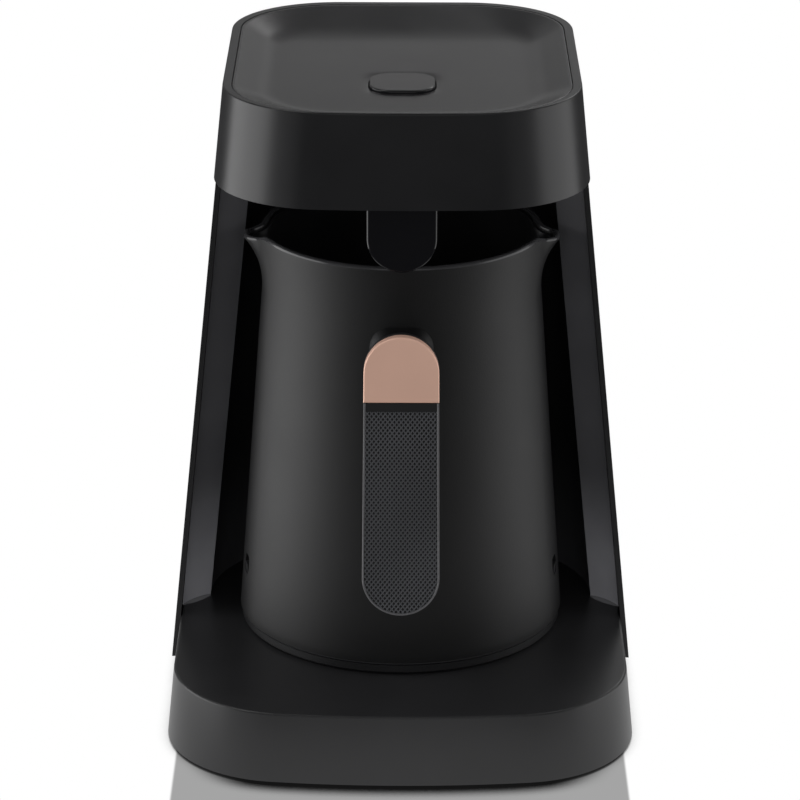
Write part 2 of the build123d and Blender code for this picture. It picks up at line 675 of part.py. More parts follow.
band_boss_x = side(HEAD_BOTTOM) - BAND_BOSS_INSET
band_boss_front = BAND_BOSS_INSET + BAND_BOSS_BACKSET - head_front(HEAD_BOTTOM)
band_boss_back = back(OVERALL_HEIGHT) - BAND_BOSS_INSET
band_boss_places = [(x * band_boss_x, y) for x in (-1, 1) for y in (band_boss_front, band_boss_back)]
boss_top = SEAT_BOTTOM + BOSS_ROOT / 2
boss_room = block(HEAD_BOTTOM, boss_top, head_plan, HEAD_WALL / 2)
for x, y in band_boss_places:
    head_band += rod(x, y, UNDERSIDE_TOP + FIT_GAP, boss_top, BAND_BOSS_RADIUS) & boss_room
    head_band -= rod(x, y, UNDERSIDE_TOP + FIT_GAP, UNDERSIDE_TOP + SCREW_DEPTH, SCREW_RADIUS + SCREW_GAP)
keep("head_band", head_band)

underside = block(UNDERSIDE_BOTTOM, UNDERSIDE_TOP, head_plan, HEAD_WALL + SEAM_GAP)
underside -= cuboid(*HEAD_WINDOW, UNDERSIDE_BOTTOM, UNDERSIDE_TOP)
nose_front = NOSE_SETBACK - head_front(UNDERSIDE_BOTTOM) + HEAD_WALL
nose_back = nose_front + NOSE_DEPTH
nose_slot = NOSE_HALF_WIDTH + SEAM_GAP
slot_depth = (nose_front - SEAM_GAP, nose_back + SEAM_GAP)
underside -= cuboid(-nose_slot, nose_slot, *slot_depth, UNDERSIDE_BOTTOM, UNDERSIDE_TOP)
for x, y in band_boss_places:
    underside -= rod(x, y, UNDERSIDE_BOTTOM, UNDERSIDE_TOP, SCREW_RADIUS + SCREW_GAP)
for x, y in tower_boss_places(LINER_TOP):
    underside -= rod(x, y, UNDERSIDE_BOTTOM, UNDERSIDE_TOP, SCREW_RADIUS + SCREW_GAP)
CONTROL_BOARD_Z = UNDERSIDE_TOP + CONTROL_BOARD_HEIGHT
CONTROL_BOARD_Y = CONTROL_BOARD_LEAD - BUTTON_FRONT
screw_x = CONTROL_BOARD_WIDTH / 2 - CONTROL_SCREW_INSET
screw_y = CONTROL_BOARD_DEPTH / 2 - CONTROL_SCREW_INSET
board_screw_places = [(x, CONTROL_BOARD_Y + y) for x in (-screw_x, screw_x) for y in (-screw_y, screw_y)]
for x, y in board_screw_places:
    underside += rod(x, y, UNDERSIDE_TOP, CONTROL_BOARD_Z - FIT_GAP / 2, POST_RADIUS)
    screw_tip = CONTROL_BOARD_Z - CONTROL_SCREW_LENGTH
    underside -= rod(x, y, screw_tip, CONTROL_BOARD_Z, SCREW_RADIUS + SCREW_GAP)
keep("head_underside", underside)

head_face = UNDERSIDE_BOTTOM - SCREW_HEAD_HEIGHT
head_screws = [upright_screw(x, y, head_face, 1) for x, y in band_boss_places]
keep("head_screws", Compound(children=head_screws))

head_face = UNDERSIDE_TOP + SCREW_HEAD_HEIGHT
tower_screws = [upright_screw(x, y, head_face, -1) for x, y in tower_boss_places(LINER_TOP)]
head_face = base_ceiling - SCREW_HEAD_HEIGHT
tower_screws += [upright_screw(x, y, head_face, 1) for x, y in tower_boss_places(BASE_TOP)]
keep("tower_screws", Compound(children=tower_screws))

# ------------------------------------------------------------------ sensor nose

NOSE_FLANGE_TOP = UNDERSIDE_TOP + FIT_GAP + NOSE_FLANGE_THICKNESS
nose_arc_z = HEAD_BOTTOM - NOSE_DROP + NOSE_HALF_WIDTH


def tongue(inset, y0, y1, top):
    """U-shaped block: straight sides closed by a half-round end, from y0 back to y1."""
    radius = NOSE_HALF_WIDTH - inset
    outline = [
        Line((-radius, top), (-radius, nose_arc_z)),
        ThreePointArc((-radius, nose_arc_z), (0, nose_arc_z - radius), (radius, nose_arc_z)),
        Line((radius, nose_arc_z), (radius, top)),
        Line((radius, top), (-radius, top)),
    ]
    face = Plane(origin=(0, y0, 0), x_dir=(1, 0, 0), z_dir=(0, -1, 0)) * Face(Wire(outline))
    return extrude(face, amount=-(y1 - y0))


nose = tongue(0, nose_front, nose_back, NOSE_FLANGE_TOP)
nose = fillet(nose.edges().filter_by(GeomType.CIRCLE), NOSE_ROUND)
flange_half = NOSE_HALF_WIDTH + NOSE_FLANGE
flange_reach = (nose_front - NOSE_FLANGE_FRONT, nose_back + NOSE_FLANGE)
nose += cuboid(-flange_half, flange_half, *flange_reach, UNDERSIDE_TOP + FIT_GAP, NOSE_FLANGE_TOP)
nose -= tongue(NOSE_WALL, nose_front + NOSE_WALL, nose_back - NOSE_WALL, NOSE_FLANGE_TOP + FIT_GAP)
keep("sensor_nose", nose)

half = SENSOR_HALF_WIDTH
eye_half = SENSOR_EYE / 2
nose_inside = NOSE_HALF_WIDTH - NOSE_WALL
sensor_bottom = nose_arc_z - sqrt(nose_inside**2 - half**2) + 2 * FIT_GAP
sensor_front = nose_front + NOSE_WALL + SENSOR_STANDOFF
sensor_back = sensor_front + BOARD_THICKNESS
eye_z = sensor_bottom + SENSOR_EYE
sensor_board = cuboid(-half, half, sensor_front, sensor_back, sensor_bottom, UNDERSIDE_TOP + SENSOR_RISE)
eye_front = sensor_front - SENSOR_EYE_DEPTH
sensor_board += cuboid(-eye_half, eye_half, eye_front, sensor_front, eye_z, eye_z + SENSOR_EYE)
keep("sensor_board", sensor_board)

# ------------------------------------------------------------------ top panel

PANEL_TOP = OVERALL_HEIGHT - FIT_GAP
DISH_FLOOR = PANEL_TOP - DISH_DEPTH
seam_fit = [value + SEAM_GAP for value in seam]
dish_edge = (seam[0] + DISH_EDGE_SIDE, seam[1] + DISH_EDGE_FRONT, seam[2] + DISH_EDGE_BACK)


def dish_plan(z, share):
    """Outline of the dished top at height z, a share of the way from the dish's edge to its floor."""
    runs = (DISH_RUN_SIDE, DISH_RUN_FRONT, DISH_RUN_BACK)
    return head_plan(z, *[edge + share * run for edge, run in zip(dish_edge, runs)])


panel = block(SEAT_TOP + FIT_GAP / 2, PANEL_TOP, head_plan, *seam_fit)
pan_inset = [value + FIT_GAP * 2 for value in ledge]
panel += block(DISH_FLOOR - PANEL_THICKNESS, SEAT_TOP + PANEL_SEAT_DEPTH / 2, head_plan, *pan_inset)
# The dish falls away steeply at its edge and runs out flat: share of the run, share of the depth.
DISH_CURVE = ((0.0, 0.0), (0.12, 0.30), (0.30, 0.60), (0.55, 0.85), (0.78, 0.96), (1.0, 1.0))
dish_sections = [dish_plan(PANEL_TOP - fall * DISH_DEPTH, share) for share, fall in DISH_CURVE]
for lower, upper in zip(dish_sections[1:], dish_sections):
    panel -= loft([lower, upper], ruled=True)


# ------------------------------------------------------------------ button, guide and switch

PANEL_UNDER = DISH_FLOOR - PANEL_THICKNESS
BUTTON_TOP = DISH_FLOOR + BUTTON_PROUD
FLANGE_TOP = PANEL_UNDER - FIT_GAP
FLANGE_BOTTOM = FLANGE_TOP - BUTTON_FLANGE_THICKNESS
BOARD_TOP = CONTROL_BOARD_Z + BOARD_THICKNESS
PLUNGER_TOP = BOARD_TOP + SWITCH_HEIGHT + PLUNGER_PROUD
GUIDE_FLOOR_TOP = FLANGE_BOTTOM - BUTTON_TRAVEL - MOVING_GAP


def rounded_slab(width, depth, radius, z0, z1):
    """Rounded rectangle under the button's centre, between two heights."""
    return Pos(0, -BUTTON_FRONT, z0) * extrude(RectangleRounded(width, depth, radius), z1 - z0)


hole_width = BUTTON_WIDTH + 2 * MOVING_GAP
hole_depth = BUTTON_DEPTH + 2 * MOVING_GAP
panel -= rounded_slab(hole_width, hole_depth, BUTTON_CORNER + MOVING_GAP, PANEL_UNDER, PANEL_TOP)
keep("top_panel", panel)

cap = rounded_slab(BUTTON_WIDTH, BUTTON_DEPTH, BUTTON_CORNER, FLANGE_BOTTOM, BUTTON_TOP)
cap = fillet(cap.edges().group_by(Axis.Z)[-1], BUTTON_ROUND)
flange_width = BUTTON_WIDTH + 2 * BUTTON_FLANGE
flange_depth = BUTTON_DEPTH + 2 * BUTTON_FLANGE
flange_corner = BUTTON_CORNER + BUTTON_FLANGE
button = cap + rounded_slab(flange_width, flange_depth, flange_corner, FLANGE_BOTTOM, FLANGE_TOP)
button += rod(0, -BUTTON_FRONT, PLUNGER_TOP + FIT_GAP / 2, FLANGE_BOTTOM, BUTTON_STEM_RADIUS)
keep("button", button)

guide_inner = (flange_width + 2 * MOVING_GAP, flange_depth + 2 * MOVING_GAP, flange_corner + MOVING_GAP)
guide_outer = (guide_inner[0] + 2 * GUIDE_WALL, guide_inner[1] + 2 * GUIDE_WALL, guide_inner[2] + GUIDE_WALL)
guide = rounded_slab(*guide_outer, GUIDE_FLOOR_TOP - GUIDE_WALL, PANEL_UNDER - FIT_GAP / 2)
guide -= rounded_slab(*guide_inner, GUIDE_FLOOR_TOP, PANEL_UNDER)
guide -= rod(0, -BUTTON_FRONT, GUIDE_FLOOR_TOP - GUIDE_WALL, GUIDE_FLOOR_TOP, BUTTON_STEM_RADIUS + MOVING_GAP)
keep("button_guide", guide)

board_left = -CONTROL_BOARD_WIDTH / 2
board_front = CONTROL_BOARD_Y - CONTROL_BOARD_DEPTH / 2
board_rear = CONTROL_BOARD_Y + CONTROL_BOARD_DEPTH / 2
control_board = cuboid(board_left, -board_left, board_front, board_rear, CONTROL_BOARD_Z, BOARD_TOP)
for x, y in board_screw_places:
    control_board -= rod(x, y, CONTROL_BOARD_Z, BOARD_TOP, SCREW_RADIUS + SCREW_GAP)
for step, depth in enumerate((CHIP_WIDTH, CHIP_WIDTH / 2)):
    chip_x = board_left + CHIP_EDGE + step * CHIP_PITCH
    chip_back = board_rear - CONTROL_SCREW_INSET
    chip_room = (chip_back - depth, chip_back)
    control_board += cuboid(chip_x, chip_x + CHIP_WIDTH, *chip_room, BOARD_TOP, BOARD_TOP + CHIP_HEIGHT)
keep("control_board", control_board)

head_face = BOARD_TOP + SCREW_HEAD_HEIGHT
board_screws = [upright_screw(x, y, head_face, -1, CONTROL_SCREW_LENGTH) for x, y in board_screw_places]

switch_half = SWITCH_SIZE / 2
switch_top = BOARD_TOP + SWITCH_HEIGHT
switch_room = (-BUTTON_FRONT - switch_half, -BUTTON_FRONT + switch_half)
switch = cuboid(-switch_half, switch_half, *switch_room, BOARD_TOP, switch_top)
switch -= rod(0, -BUTTON_FRONT, BOARD_TOP + SWITCH_FLOOR, switch_top, PLUNGER_RADIUS + FIT_GAP)
keep("tact_switch", switch)
plunger_foot = BOARD_TOP + SWITCH_FLOOR + BUTTON_TRAVEL + 2 * FIT_GAP
keep("switch_plunger", rod(0, -BUTTON_FRONT, plunger_foot, PLUNGER_TOP, PLUNGER_RADIUS))

buzzer_x = CONTROL_BOARD_WIDTH / 2 - BUZZER_EDGE
buzzer_y = board_rear - BUZZER_BACK
buzzer_top = BOARD_TOP + BUZZER_HEIGHT
buzzer = rod(buzzer_x, buzzer_y, BOARD_TOP, buzzer_top, BUZZER_RADIUS)
buzzer -= rod(buzzer_x, buzzer_y, buzzer_top - BUZZER_HOLE, buzzer_top, BUZZER_HOLE)
keep("buzzer", buzzer)

# ------------------------------------------------------------------ power board in the tower

board_face = POWER_BOARD_FRONT + FIT_GAP / 2
board_back = board_face + BOARD_THICKNESS
half = POWER_BOARD_WIDTH / 2
power_board = cuboid(-half, half, board_face, board_back, POWER_BOARD_BOTTOM, POWER_BOARD_TOP)
for x, z in board_posts:
    power_board -= rear_rod(x, board_back, z, SCREW_RADIUS + SCREW_GAP, BOARD_THICKNESS)
    head = rear_rod(x, board_back + SCREW_HEAD_HEIGHT, z, SCREW_HEAD_RADIUS, SCREW_HEAD_HEIGHT)
    board_screws.append(head + rear_rod(x, board_back, z, SCREW_RADIUS, POWER_SCREW_LENGTH))
keep("power_board", power_board)
keep("board_screws", Compound(children=board_screws))


def board_part(x, z, width, height, depth):
    """Rectangular component standing on the power board's back face."""
    across = (x - width / 2, x + width / 2)
    return cuboid(*across, board_back, board_back + depth, z - height / 2, z + height / 2)


part_x = half - PART_EDGE
relay = board_part(-part_x, POWER_BOARD_BOTTOM + RELAY_LEVEL, RELAY_WIDTH, RELAY_HEIGHT, RELAY_DEPTH)
keep("relay", fillet(relay.edges().group_by(Axis.Y)[-1], PART_ROUND))

capacitor_z = POWER_BOARD_BOTTOM + CAPACITOR_LEVEL
capacitor = board_part(part_x, capacitor_z, CAPACITOR_WIDTH, CAPACITOR_HEIGHT, CAPACITOR_DEPTH)
keep("mains_capacitor", fillet(capacitor.edges().group_by(Axis.Y)[-1], PART_ROUND))

transformer_z = POWER_BOARD_BOTTOM + TRANSFORMER_LEVEL
transformer = board_part(0, transformer_z, TRANSFORMER_WIDTH, TRANSFORMER_HEIGHT, TRANSFORMER_DEPTH)
transformer += board_part(0, transformer_z, CORE_WIDTH, CORE_HEIGHT, CORE_DEPTH)
keep("transformer", transformer)

terminal_width = TERMINAL_COUNT * TERMINAL_PITCH + 2 * TERMINAL_END
terminal_z = POWER_BOARD_BOTTOM + TERMINAL_LEVEL
terminals = board_part(0, terminal_z, terminal_width, TERMINAL_HEIGHT, TERMINAL_DEPTH)
for step in range(TERMINAL_COUNT):
    slot_x = (step - (TERMINAL_COUNT - 1) / 2) * TERMINAL_PITCH
    slot = (slot_x - TERMINAL_SLOT / 2, slot_x + TERMINAL_SLOT / 2)
    slot_depth = (board_back + TERMINAL_FLOOR, board_back + TERMINAL_DEPTH)
    terminals -= cuboid(*slot, *slot_depth, terminal_z - TERMINAL_HEIGHT / 2, terminal_z)
keep("terminal_block", terminals)

# Wiring: mains from the gland end and the carrier to the terminals, and a thin
# loom from the board up to the head.


def wire_run(points, radii):
    """Round lead along straight runs joined by tangent arcs."""
    path = FilletPolyline(*points, radius=radii)
    start = Plane(origin=path @ 0, z_dir=path % 0)
    return sweep(start * Circle(WIRE_RADIUS), path=path)


wire_y = sum(WIRE_WINDOW[2:]) / 2
lead_z = CARRIER_BOTTOM - WIRE_RADIUS - LEAD_GAP
carrier_lead = wire_run(
    [
        (0, CARRIER_RADIUS - 4 * WIRE_RADIUS, lead_z),
        (0, wire_y - CARRIER_SCREW_CIRCLE, lead_z - LEAD_GAP),
        (0, wire_y - LEAD_GAP, CARRIER_BOTTOM + WIRE_RADIUS + LEAD_GAP),
        (0, wire_y, POWER_BOARD_BOTTOM + LEAD_GAP),
    ],
    [8 * WIRE_RADIUS, 6 * WIRE_RADIUS],
)
head_y = sum(HEAD_WINDOW[2:]) / 2
loom_x = CORE_WIDTH / 2 + WIRE_RADIUS + LEAD_GAP
loom_y = board_back + WIRE_RADIUS + LEAD_GAP
head_lead = wire_run(
    [
        (loom_x, loom_y - LEAD_GAP / 3, POWER_BOARD_TOP - 8 * WIRE_RADIUS),
        (loom_x, loom_y, POWER_BOARD_TOP + 9 * WIRE_RADIUS),
        (loom_x, head_y, UNDERSIDE_BOTTOM - 5 * WIRE_RADIUS),
        (loom_x, head_y - 2 * WIRE_RADIUS, UNDERSIDE_TOP + 4 * WIRE_RADIUS),
        (loom_x, board_rear + LEAD_GAP, CONTROL_BOARD_Z - WIRE_RADIUS - 3 * LEAD_GAP),
    ],
    [13 * WIRE_RADIUS, 11 * WIRE_RADIUS, 5 * WIRE_RADIUS],
)
keep("wire_harness", Compound(children=[carrier_lead, head_lead]))

# ------------------------------------------------------------------ pot

POT_BOTTOM = BASE_TOP + STAND_GAP
POT_BODY_BOTTOM = POT_BOTTOM + POT_RING_HEIGHT


def pot_radius(z):
    """Round radius of the pot: a cone up to the neck, then a slight flare."""
    cone = POT_FOOT_RADIUS - POT_DRAFT * (min(z, POT_NECK) - POT_BODY_BOTTOM)
    rise = max(0.0, z - POT_NECK) / NECK_HEIGHT
    return cone + RIM_FLARE * min(rise, 1.0)


def spout(z, angle):
    """How far the two side spouts stand out at height z and polar angle."""
    rise = max(0.0, z - POT_RIM + SPOUT_HEIGHT) / SPOUT_HEIGHT
    away = min(abs(angle - turn) for turn in (0.0, pi, 2 * pi))
    share = min(away / radians(SPOUT_HALF_ANGLE), 1.0)
    return SPOUT_REACH * rise**3 * cos(share * pi / 2) ** 3


def ring_section(z, radius):
    """Closed smooth section of the pot at height z, radius being a function of angle."""
    points = []
    for step in range(SECTION_POINTS):
        angle = 2 * pi * step / SECTION_POINTS
        points.append((radius(angle) * cos(angle), radius(angle) * sin(angle), z))
    return Face(Wire([Spline(*points, periodic=True)]))


def pot_section(z, inset=0.0):
    """Outside of the pot at height z, set in by inset."""
    return ring_section(z, lambda angle: pot_radius(z) + spout(z, angle) - inset)


def vessel_section(z, inset=0.0):
    """Outside of the vessel: along the pot's wall at the neck, narrower below, rounded into its floor."""
    taper = VESSEL_DRAFT * max(0.0, POT_NECK - z)
    round_radius = VESSEL_CORNER - inset
    short = min(round_radius, max(0.0, round_radius - (z - VESSEL_FLOOR - inset)))
    floor_round = round_radius - sqrt(round_radius**2 - short**2)
    radius = pot_radius(max(z, POT_NECK)) - taper - POT_WALL - FIT_GAP - inset - floor_round
    return ring_section(z, lambda angle: radius + spout(z, angle))


# The rim is a shallow saddle: an arc seen from the front, lowest at the two spouts.
spout_tip = pot_radius(POT_RIM) + SPOUT_REACH * 0.6
saddle_reach = pot_radius(POT_RIM) + 2 * SPOUT_REACH
SADDLE_RADIUS = spout_tip**2 / (2 * RIM_DIP)
saddle_drop = SADDLE_RADIUS - sqrt(SADDLE_RADIUS**2 - saddle_reach**2)
above_rim = POT_RIM + 2 * SPOUT_REACH
saddle_end = POT_RIM - saddle_drop
saddle_outline = [
    ThreePointArc((-saddle_reach, saddle_end), (0, POT_RIM), (saddle_reach, saddle_end)),
    Line((saddle_reach, saddle_end), (saddle_reach, above_rim)),
    Line((saddle_reach, above_rim), (-saddle_reach, above_rim)),
    Line((-saddle_reach, above_rim), (-saddle_reach, saddle_end)),
]
above_saddle = extrude(Plane.XZ * Face(Wire(saddle_outline)), amount=saddle_reach, both=True)

RIM_OVER = 1.6
neck_reach = NECK_HEIGHT + RIM_OVER
neck_levels = [POT_NECK + neck_reach * step / NECK_STEPS for step in range(NECK_STEPS + 1)]


def floor_levels(inset=0.0):
    """Heights of the sections that round the vessel's wall into its floor."""
    radius = VESSEL_CORNER - inset
    turns = [pi / 2 * step / FLOOR_STEPS for step in range(FLOOR_STEPS + 1)]
    return [VESSEL_FLOOR + inset + radius * (1 - cos(turn)) for turn in turns]


def turned_loft(lower_levels, section, inset=0.0):
    """Solid through its lower sections, the neck and on past the rim."""
    return loft([section(z, inset) for z in lower_levels + neck_levels], ruled=True)


pot_outer = turned_loft([POT_BODY_BOTTOM], pot_section)
pot_inner = turned_loft([POT_BODY_BOTTOM], pot_section, POT_WALL)
pot_core = turned_loft([POT_BODY_BOTTOM], pot_section, POT_WALL / 2)
vessel_outer = turned_loft(floor_levels(), vessel_section)
vessel_inner = turned_loft(floor_levels(VESSEL_WALL), vessel_section, VESSEL_WALL)

# Handle frame: its face lies in the plane that joins the base's and the head's fronts.
face_lean = (base_front(BASE_TOP) - head_front(HEAD_BOTTOM)) / (HEAD_BOTTOM - BASE_TOP)


def face_y(z):
    """Where the handle's face stands at height z."""
    return -(base_front(BASE_TOP) - face_lean * (z - BASE_TOP))


HANDLE_BOTTOM = BASE_TOP + HANDLE_RISE
HANDLE_TOP = POT_RIM - HANDLE_DROP
handle_middle = (HANDLE_BOTTOM + HANDLE_TOP) / 2
handle_length = (HANDLE_TOP - HANDLE_BOTTOM) * sqrt(1 + face_lean**2)
handle_origin = (0, face_y(handle_middle), handle_middle)
handle_plane = Plane(origin=handle_origin, x_dir=(1, 0, 0), z_dir=(0, -1, face_lean))
cap_edge = handle_length / 2 - CAP_LENGTH


def pill(inset=0.0):
    """Handle outline: two round ends joined by straight tangents, set in by inset."""
    top = handle_length / 2 - HANDLE_TOP_RADIUS
    bottom = -handle_length / 2 + HANDLE_BOTTOM_RADIUS
    tilt = asin((HANDLE_BOTTOM_RADIUS - HANDLE_TOP_RADIUS) / (top - bottom))
    r_top = HANDLE_TOP_RADIUS - inset
    r_bottom = HANDLE_BOTTOM_RADIUS - inset
    a = (r_top * cos(tilt), top + r_top * sin(tilt))
    b = (r_bottom * cos(tilt), bottom + r_bottom * sin(tilt))
    edges = [
        ThreePointArc(a, (0, top + r_top), (-a[0], a[1])),
        Line((-a[0], a[1]), (-b[0], b[1])),
        ThreePointArc((-b[0], b[1]), (0, bottom - r_bottom), b),
        Line(b, a),
    ]
    return Face(Wire(edges))


def pill_slab(depth0, depth1, inset=0.0, low=None, high=None):
    """Slab of the handle's outline between two depths behind its face, cut to a stretch of its length."""
    slab = extrude(pill(inset), depth1 - depth0)
    slab = Pos(0, 0, -depth1) * slab
    low = -handle_length if low is None else low
    high = handle_length if high is None else high
    window = cuboid(-HANDLE_THICKNESS * 3, HANDLE_THICKNESS * 3, low, high, -depth1, -depth0)
    return slab & window


handle = pill_slab(0, HANDLE_THICKNESS)
handle = fillet(handle.edges().group_by(Axis.Z)[0], HANDLE_BACK_ROUND)
handle -= pill_slab(-FIT_GAP, CAP_THICKNESS + FIT_GAP, -FIT_GAP, cap_edge - FIT_GAP)
handle -= pill_slab(-FIT_GAP, GRIP_THICKNESS + FIT_GAP, GRIP_BORDER - FIT_GAP, None, cap_edge)
arm_level = (HANDLE_TOP - ARM_DROP - handle_middle) * sqrt(1 + face_lean**2)
screw_levels = (arm_level - HANDLE_SCREW_PITCH / 2, arm_level + HANDLE_SCREW_PITCH / 2)
screw_seat = CAP_THICKNESS + FIT_GAP + SCREW_HEAD_HEIGHT
for level in screw_levels:
    handle -= rod(0, level, -HANDLE_THICKNESS, 0, SCREW_RADIUS + SCREW_GAP)
    handle -= rod(0, level, -screw_seat, 0, SCREW_HEAD_RADIUS + FIT_GAP)
keep("handle_body", handle_plane * handle)

grip = pill_slab(FIT_GAP, GRIP_THICKNESS, GRIP_BORDER, None, cap_edge - FIT_GAP)
keep("grip_insert", handle_plane * grip)

cap_trim = pill_slab(0, CAP_THICKNESS, 0, cap_edge)
cap_trim = fillet(cap_trim.edges().group_by(Axis.Z)[-1], CAP_ROUND)
keep("handle_cap", handle_plane * cap_trim)

handle_screws = []
for level in screw_levels:
    screw = rod(0, level, -screw_seat, -screw_seat + SCREW_HEAD_HEIGHT, SCREW_HEAD_RADIUS)
    screw += rod(0, level, -screw_seat - HANDLE_SCREW_LENGTH, -screw_seat, SCREW_RADIUS)
    handle_screws.append(handle_plane * screw)
keep("handle_screws", Compound(children=handle_screws))

# The arm ends inside the pot's wall, so that the two join in one solid.
arm_root = -HANDLE_THICKNESS - FIT_GAP / 2
arm_reach = -handle_origin[1]
arm_section = Pos(0, arm_level, arm_root) * RectangleRounded(ARM_WIDTH, ARM_HEIGHT, ARM_CORNER)
arm = extrude(arm_section, -arm_reach / 2)
arm = (handle_plane * arm) - pot_core
screw_holes = []
for level in screw_levels:
    hole_end = -screw_seat - HANDLE_SCREW_LENGTH - SCREW_TIP_ROOM
    screw_holes.append(handle_plane * rod(0, level, hole_end, arm_root, SCREW_RADIUS + SCREW_GAP))


def latch(level, depth0, depth1, width, height):
    """Small radial blocks on both sides of the pot, between two distances from its axis."""
    pieces = []
    for sign in (-1, 1):
        turn = -90 + sign * LATCH_ANGLE
        piece = Rot(Z=turn) * Pos((depth0 + depth1) / 2, 0, level) * Box(depth1 - depth0, width, height)
        pieces.append(piece)
    return pieces


pot_shell = (pot_outer - pot_inner) + arm - above_saddle
for hole in screw_holes:
    pot_shell -= hole
wall_inside = pot_radius(LATCH_LEVEL) - POT_WALL
window_reach = (wall_inside - POT_WALL, wall_inside + 2 * POT_WALL)
for window in latch(LATCH_LEVEL, *window_reach, LATCH_WIDTH, LATCH_HEIGHT):
    pot_shell -= window
keep("pot_shell", pot_shell)

vessel = vessel_outer - vessel_inner - above_saddle
keep("pot_vessel", vessel)

# Bottom cup: closes the pot, carries the contacts and the heater's posts.
SKIRT_TOP = LATCH_LEVEL + LATCH_HEIGHT / 2 + SKIRT_ABOVE_LATCH
skirt_outer = [pot_radius(z) - POT_WALL - FIT_GAP for z in (POT_BODY_BOTTOM, SKIRT_TOP)]
skirt_core = [radius - CUP_WALL for radius in skirt_outer]
skirt_height = SKIRT_TOP - POT_BODY_BOTTOM + FIT_GAP
skirt_middle = (POT_BODY_BOTTOM + SKIRT_TOP) / 2
ring_radius = POT_FOOT_RADIUS - POT_RING_INSET
cup_ring = rod(0, 0, POT_BOTTOM, POT_BODY_BOTTOM - FIT_GAP / 2, ring_radius)
cup_ring = chamfer(cup_ring.edges().group_by(Axis.Z)[0], CUP_CHAMFER)
skirt = Pos(0, 0, skirt_middle - FIT_GAP) * Cone(*skirt_outer, skirt_height)
cup = (cup_ring + skirt) - Pos(0, 0, skirt_middle) * Cone(*skirt_core, skirt_height + 2 * FIT_GAP)
cup -= rod(0, 0, POT_BOTTOM + CUP_FLOOR, POT_BODY_BOTTOM, skirt_core[0] - FIT_GAP)
tab_reach = (wall_inside - CUP_WALL / 2, wall_inside + POT_WALL - LATCH_GAP)
for tab in latch(LATCH_LEVEL, *tab_reach, LATCH_WIDTH - 2 * LATCH_GAP, LATCH_HEIGHT - 2 * LATCH_GAP):
    cup += tab
PLATE_LEVEL = VESSEL_FLOOR - HEATER_PLATE_THICKNESS - FIT_GAP / 2
HEATER_PLATE_RADIUS = POT_FOOT_RADIUS - HEATER_PLATE_INSET
post_places = around(HEATER_PLATE_RADIUS - POT_POST_INSET, 90, 3)
screw_seat = PLATE_LEVEL - POT_SCREW_REACH
for x, y in post_places:
    cup += rod(x, y, POT_BOTTOM + CUP_FLOOR / 2, PLATE_LEVEL - FIT_GAP / 2, POT_POST_RADIUS)
for x, y in post_places:
    cup -= rod(x, y, POT_BOTTOM, PLATE_LEVEL, SCREW_RADIUS + SCREW_GAP)
    cup -= rod(x, y, POT_BOTTOM, screw_seat, SCREW_HEAD_RADIUS + FIT_GAP)


def contact_band(radius, grow=0.0):
    """Flush contact in the pot's floor: a disc at the centre, a ring elsewhere."""
    outer = radius + CONTACT_BAND + grow
    face = rod(0, 0, POT_BOTTOM, POT_BOTTOM + CONTACT_THICKNESS + grow, outer)
    if radius > 0:
        face -= rod(0, 0, POT_BOTTOM, POT_BOTTOM + CONTACT_THICKNESS + grow, radius - grow)
    return face


for radius in CONTACT_RADII:
    cup -= contact_band(radius, SCREW_GAP)
keep("pot_base", cup)
keep("contact_rings", Compound(children=[contact_band(radius) for radius in CONTACT_RADII]))

plate = rod(0, 0, PLATE_LEVEL, VESSEL_FLOOR - FIT_GAP / 2, HEATER_PLATE_RADIUS)
for x, y in post_places:
    plate -= rod(x, y, PLATE_LEVEL, VESSEL_FLOOR - SCREW_TIP_ROOM, SCREW_RADIUS + SCREW_GAP)
keep("heater_plate", plate)

element_z = PLATE_LEVEL - ELEMENT_TUBE - SCREW_GAP
element_radius = HEATER_PLATE_RADIUS - ELEMENT_INSET
half_break = (360 - ELEMENT_SWEEP) / 2
tube_face = Plane.XZ * (Pos(element_radius, element_z) * Circle(ELEMENT_TUBE))
element = Rot(Z=half_break - 90) * revolve(tube_face, Axis.Z, ELEMENT_SWEEP)
for sign in (-1, 1):
    end = radians(-90 + sign * half_break)
    end_x = element_radius * cos(end)
    end_y = element_radius * sin(end)
    element += rod(end_x, end_y, element_z - ELEMENT_PIN_LENGTH, element_z, ELEMENT_PIN)
keep("heater_element", element)

thermostat_top = PLATE_LEVEL - SCREW_GAP
thermostat_foot = thermostat_top - THERMOSTAT_HEIGHT
ear_reach = THERMOSTAT_RADIUS + THERMOSTAT_EAR
ear_half = THERMOSTAT_EAR_WIDTH / 2
ear_top = thermostat_foot + THERMOSTAT_EAR_THICKNESS
ears = cuboid(-ear_reach, ear_reach, -ear_half, ear_half, thermostat_foot, ear_top)
thermostat = rod(0, 0, thermostat_foot, thermostat_top, THERMOSTAT_RADIUS) + ears
keep("thermostat", thermostat)

head_face = screw_seat - SCREW_HEAD_HEIGHT
pot_screws = [upright_screw(x, y, head_face, 1, POT_SCREW_LENGTH) for x, y in post_places]
keep("pot_screws", Compound(children=pot_screws))

# Seal between the vessel and the pot's wall, just below the neck.
seal_level = POT_NECK - SEAL_DROP
seal_outer = pot_radius(seal_level) - POT_WALL - FIT_GAP
seal_inner = pot_radius(POT_NECK) - VESSEL_DRAFT * (POT_NECK - seal_level) - POT_WALL
seal = rod(0, 0, seal_level, seal_level + SEAL_HEIGHT, seal_outer - POT_DRAFT * SEAL_HEIGHT)
seal -= rod(0, 0, seal_level, seal_level + SEAL_HEIGHT, seal_inner + VESSEL_DRAFT * SEAL_HEIGHT)
keep("vessel_seal", seal)
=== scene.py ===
from math import asin, atan2, cos, hypot, pi, radians, sin, sqrt

import bmesh
import bpy
from mathutils import Matrix, Vector


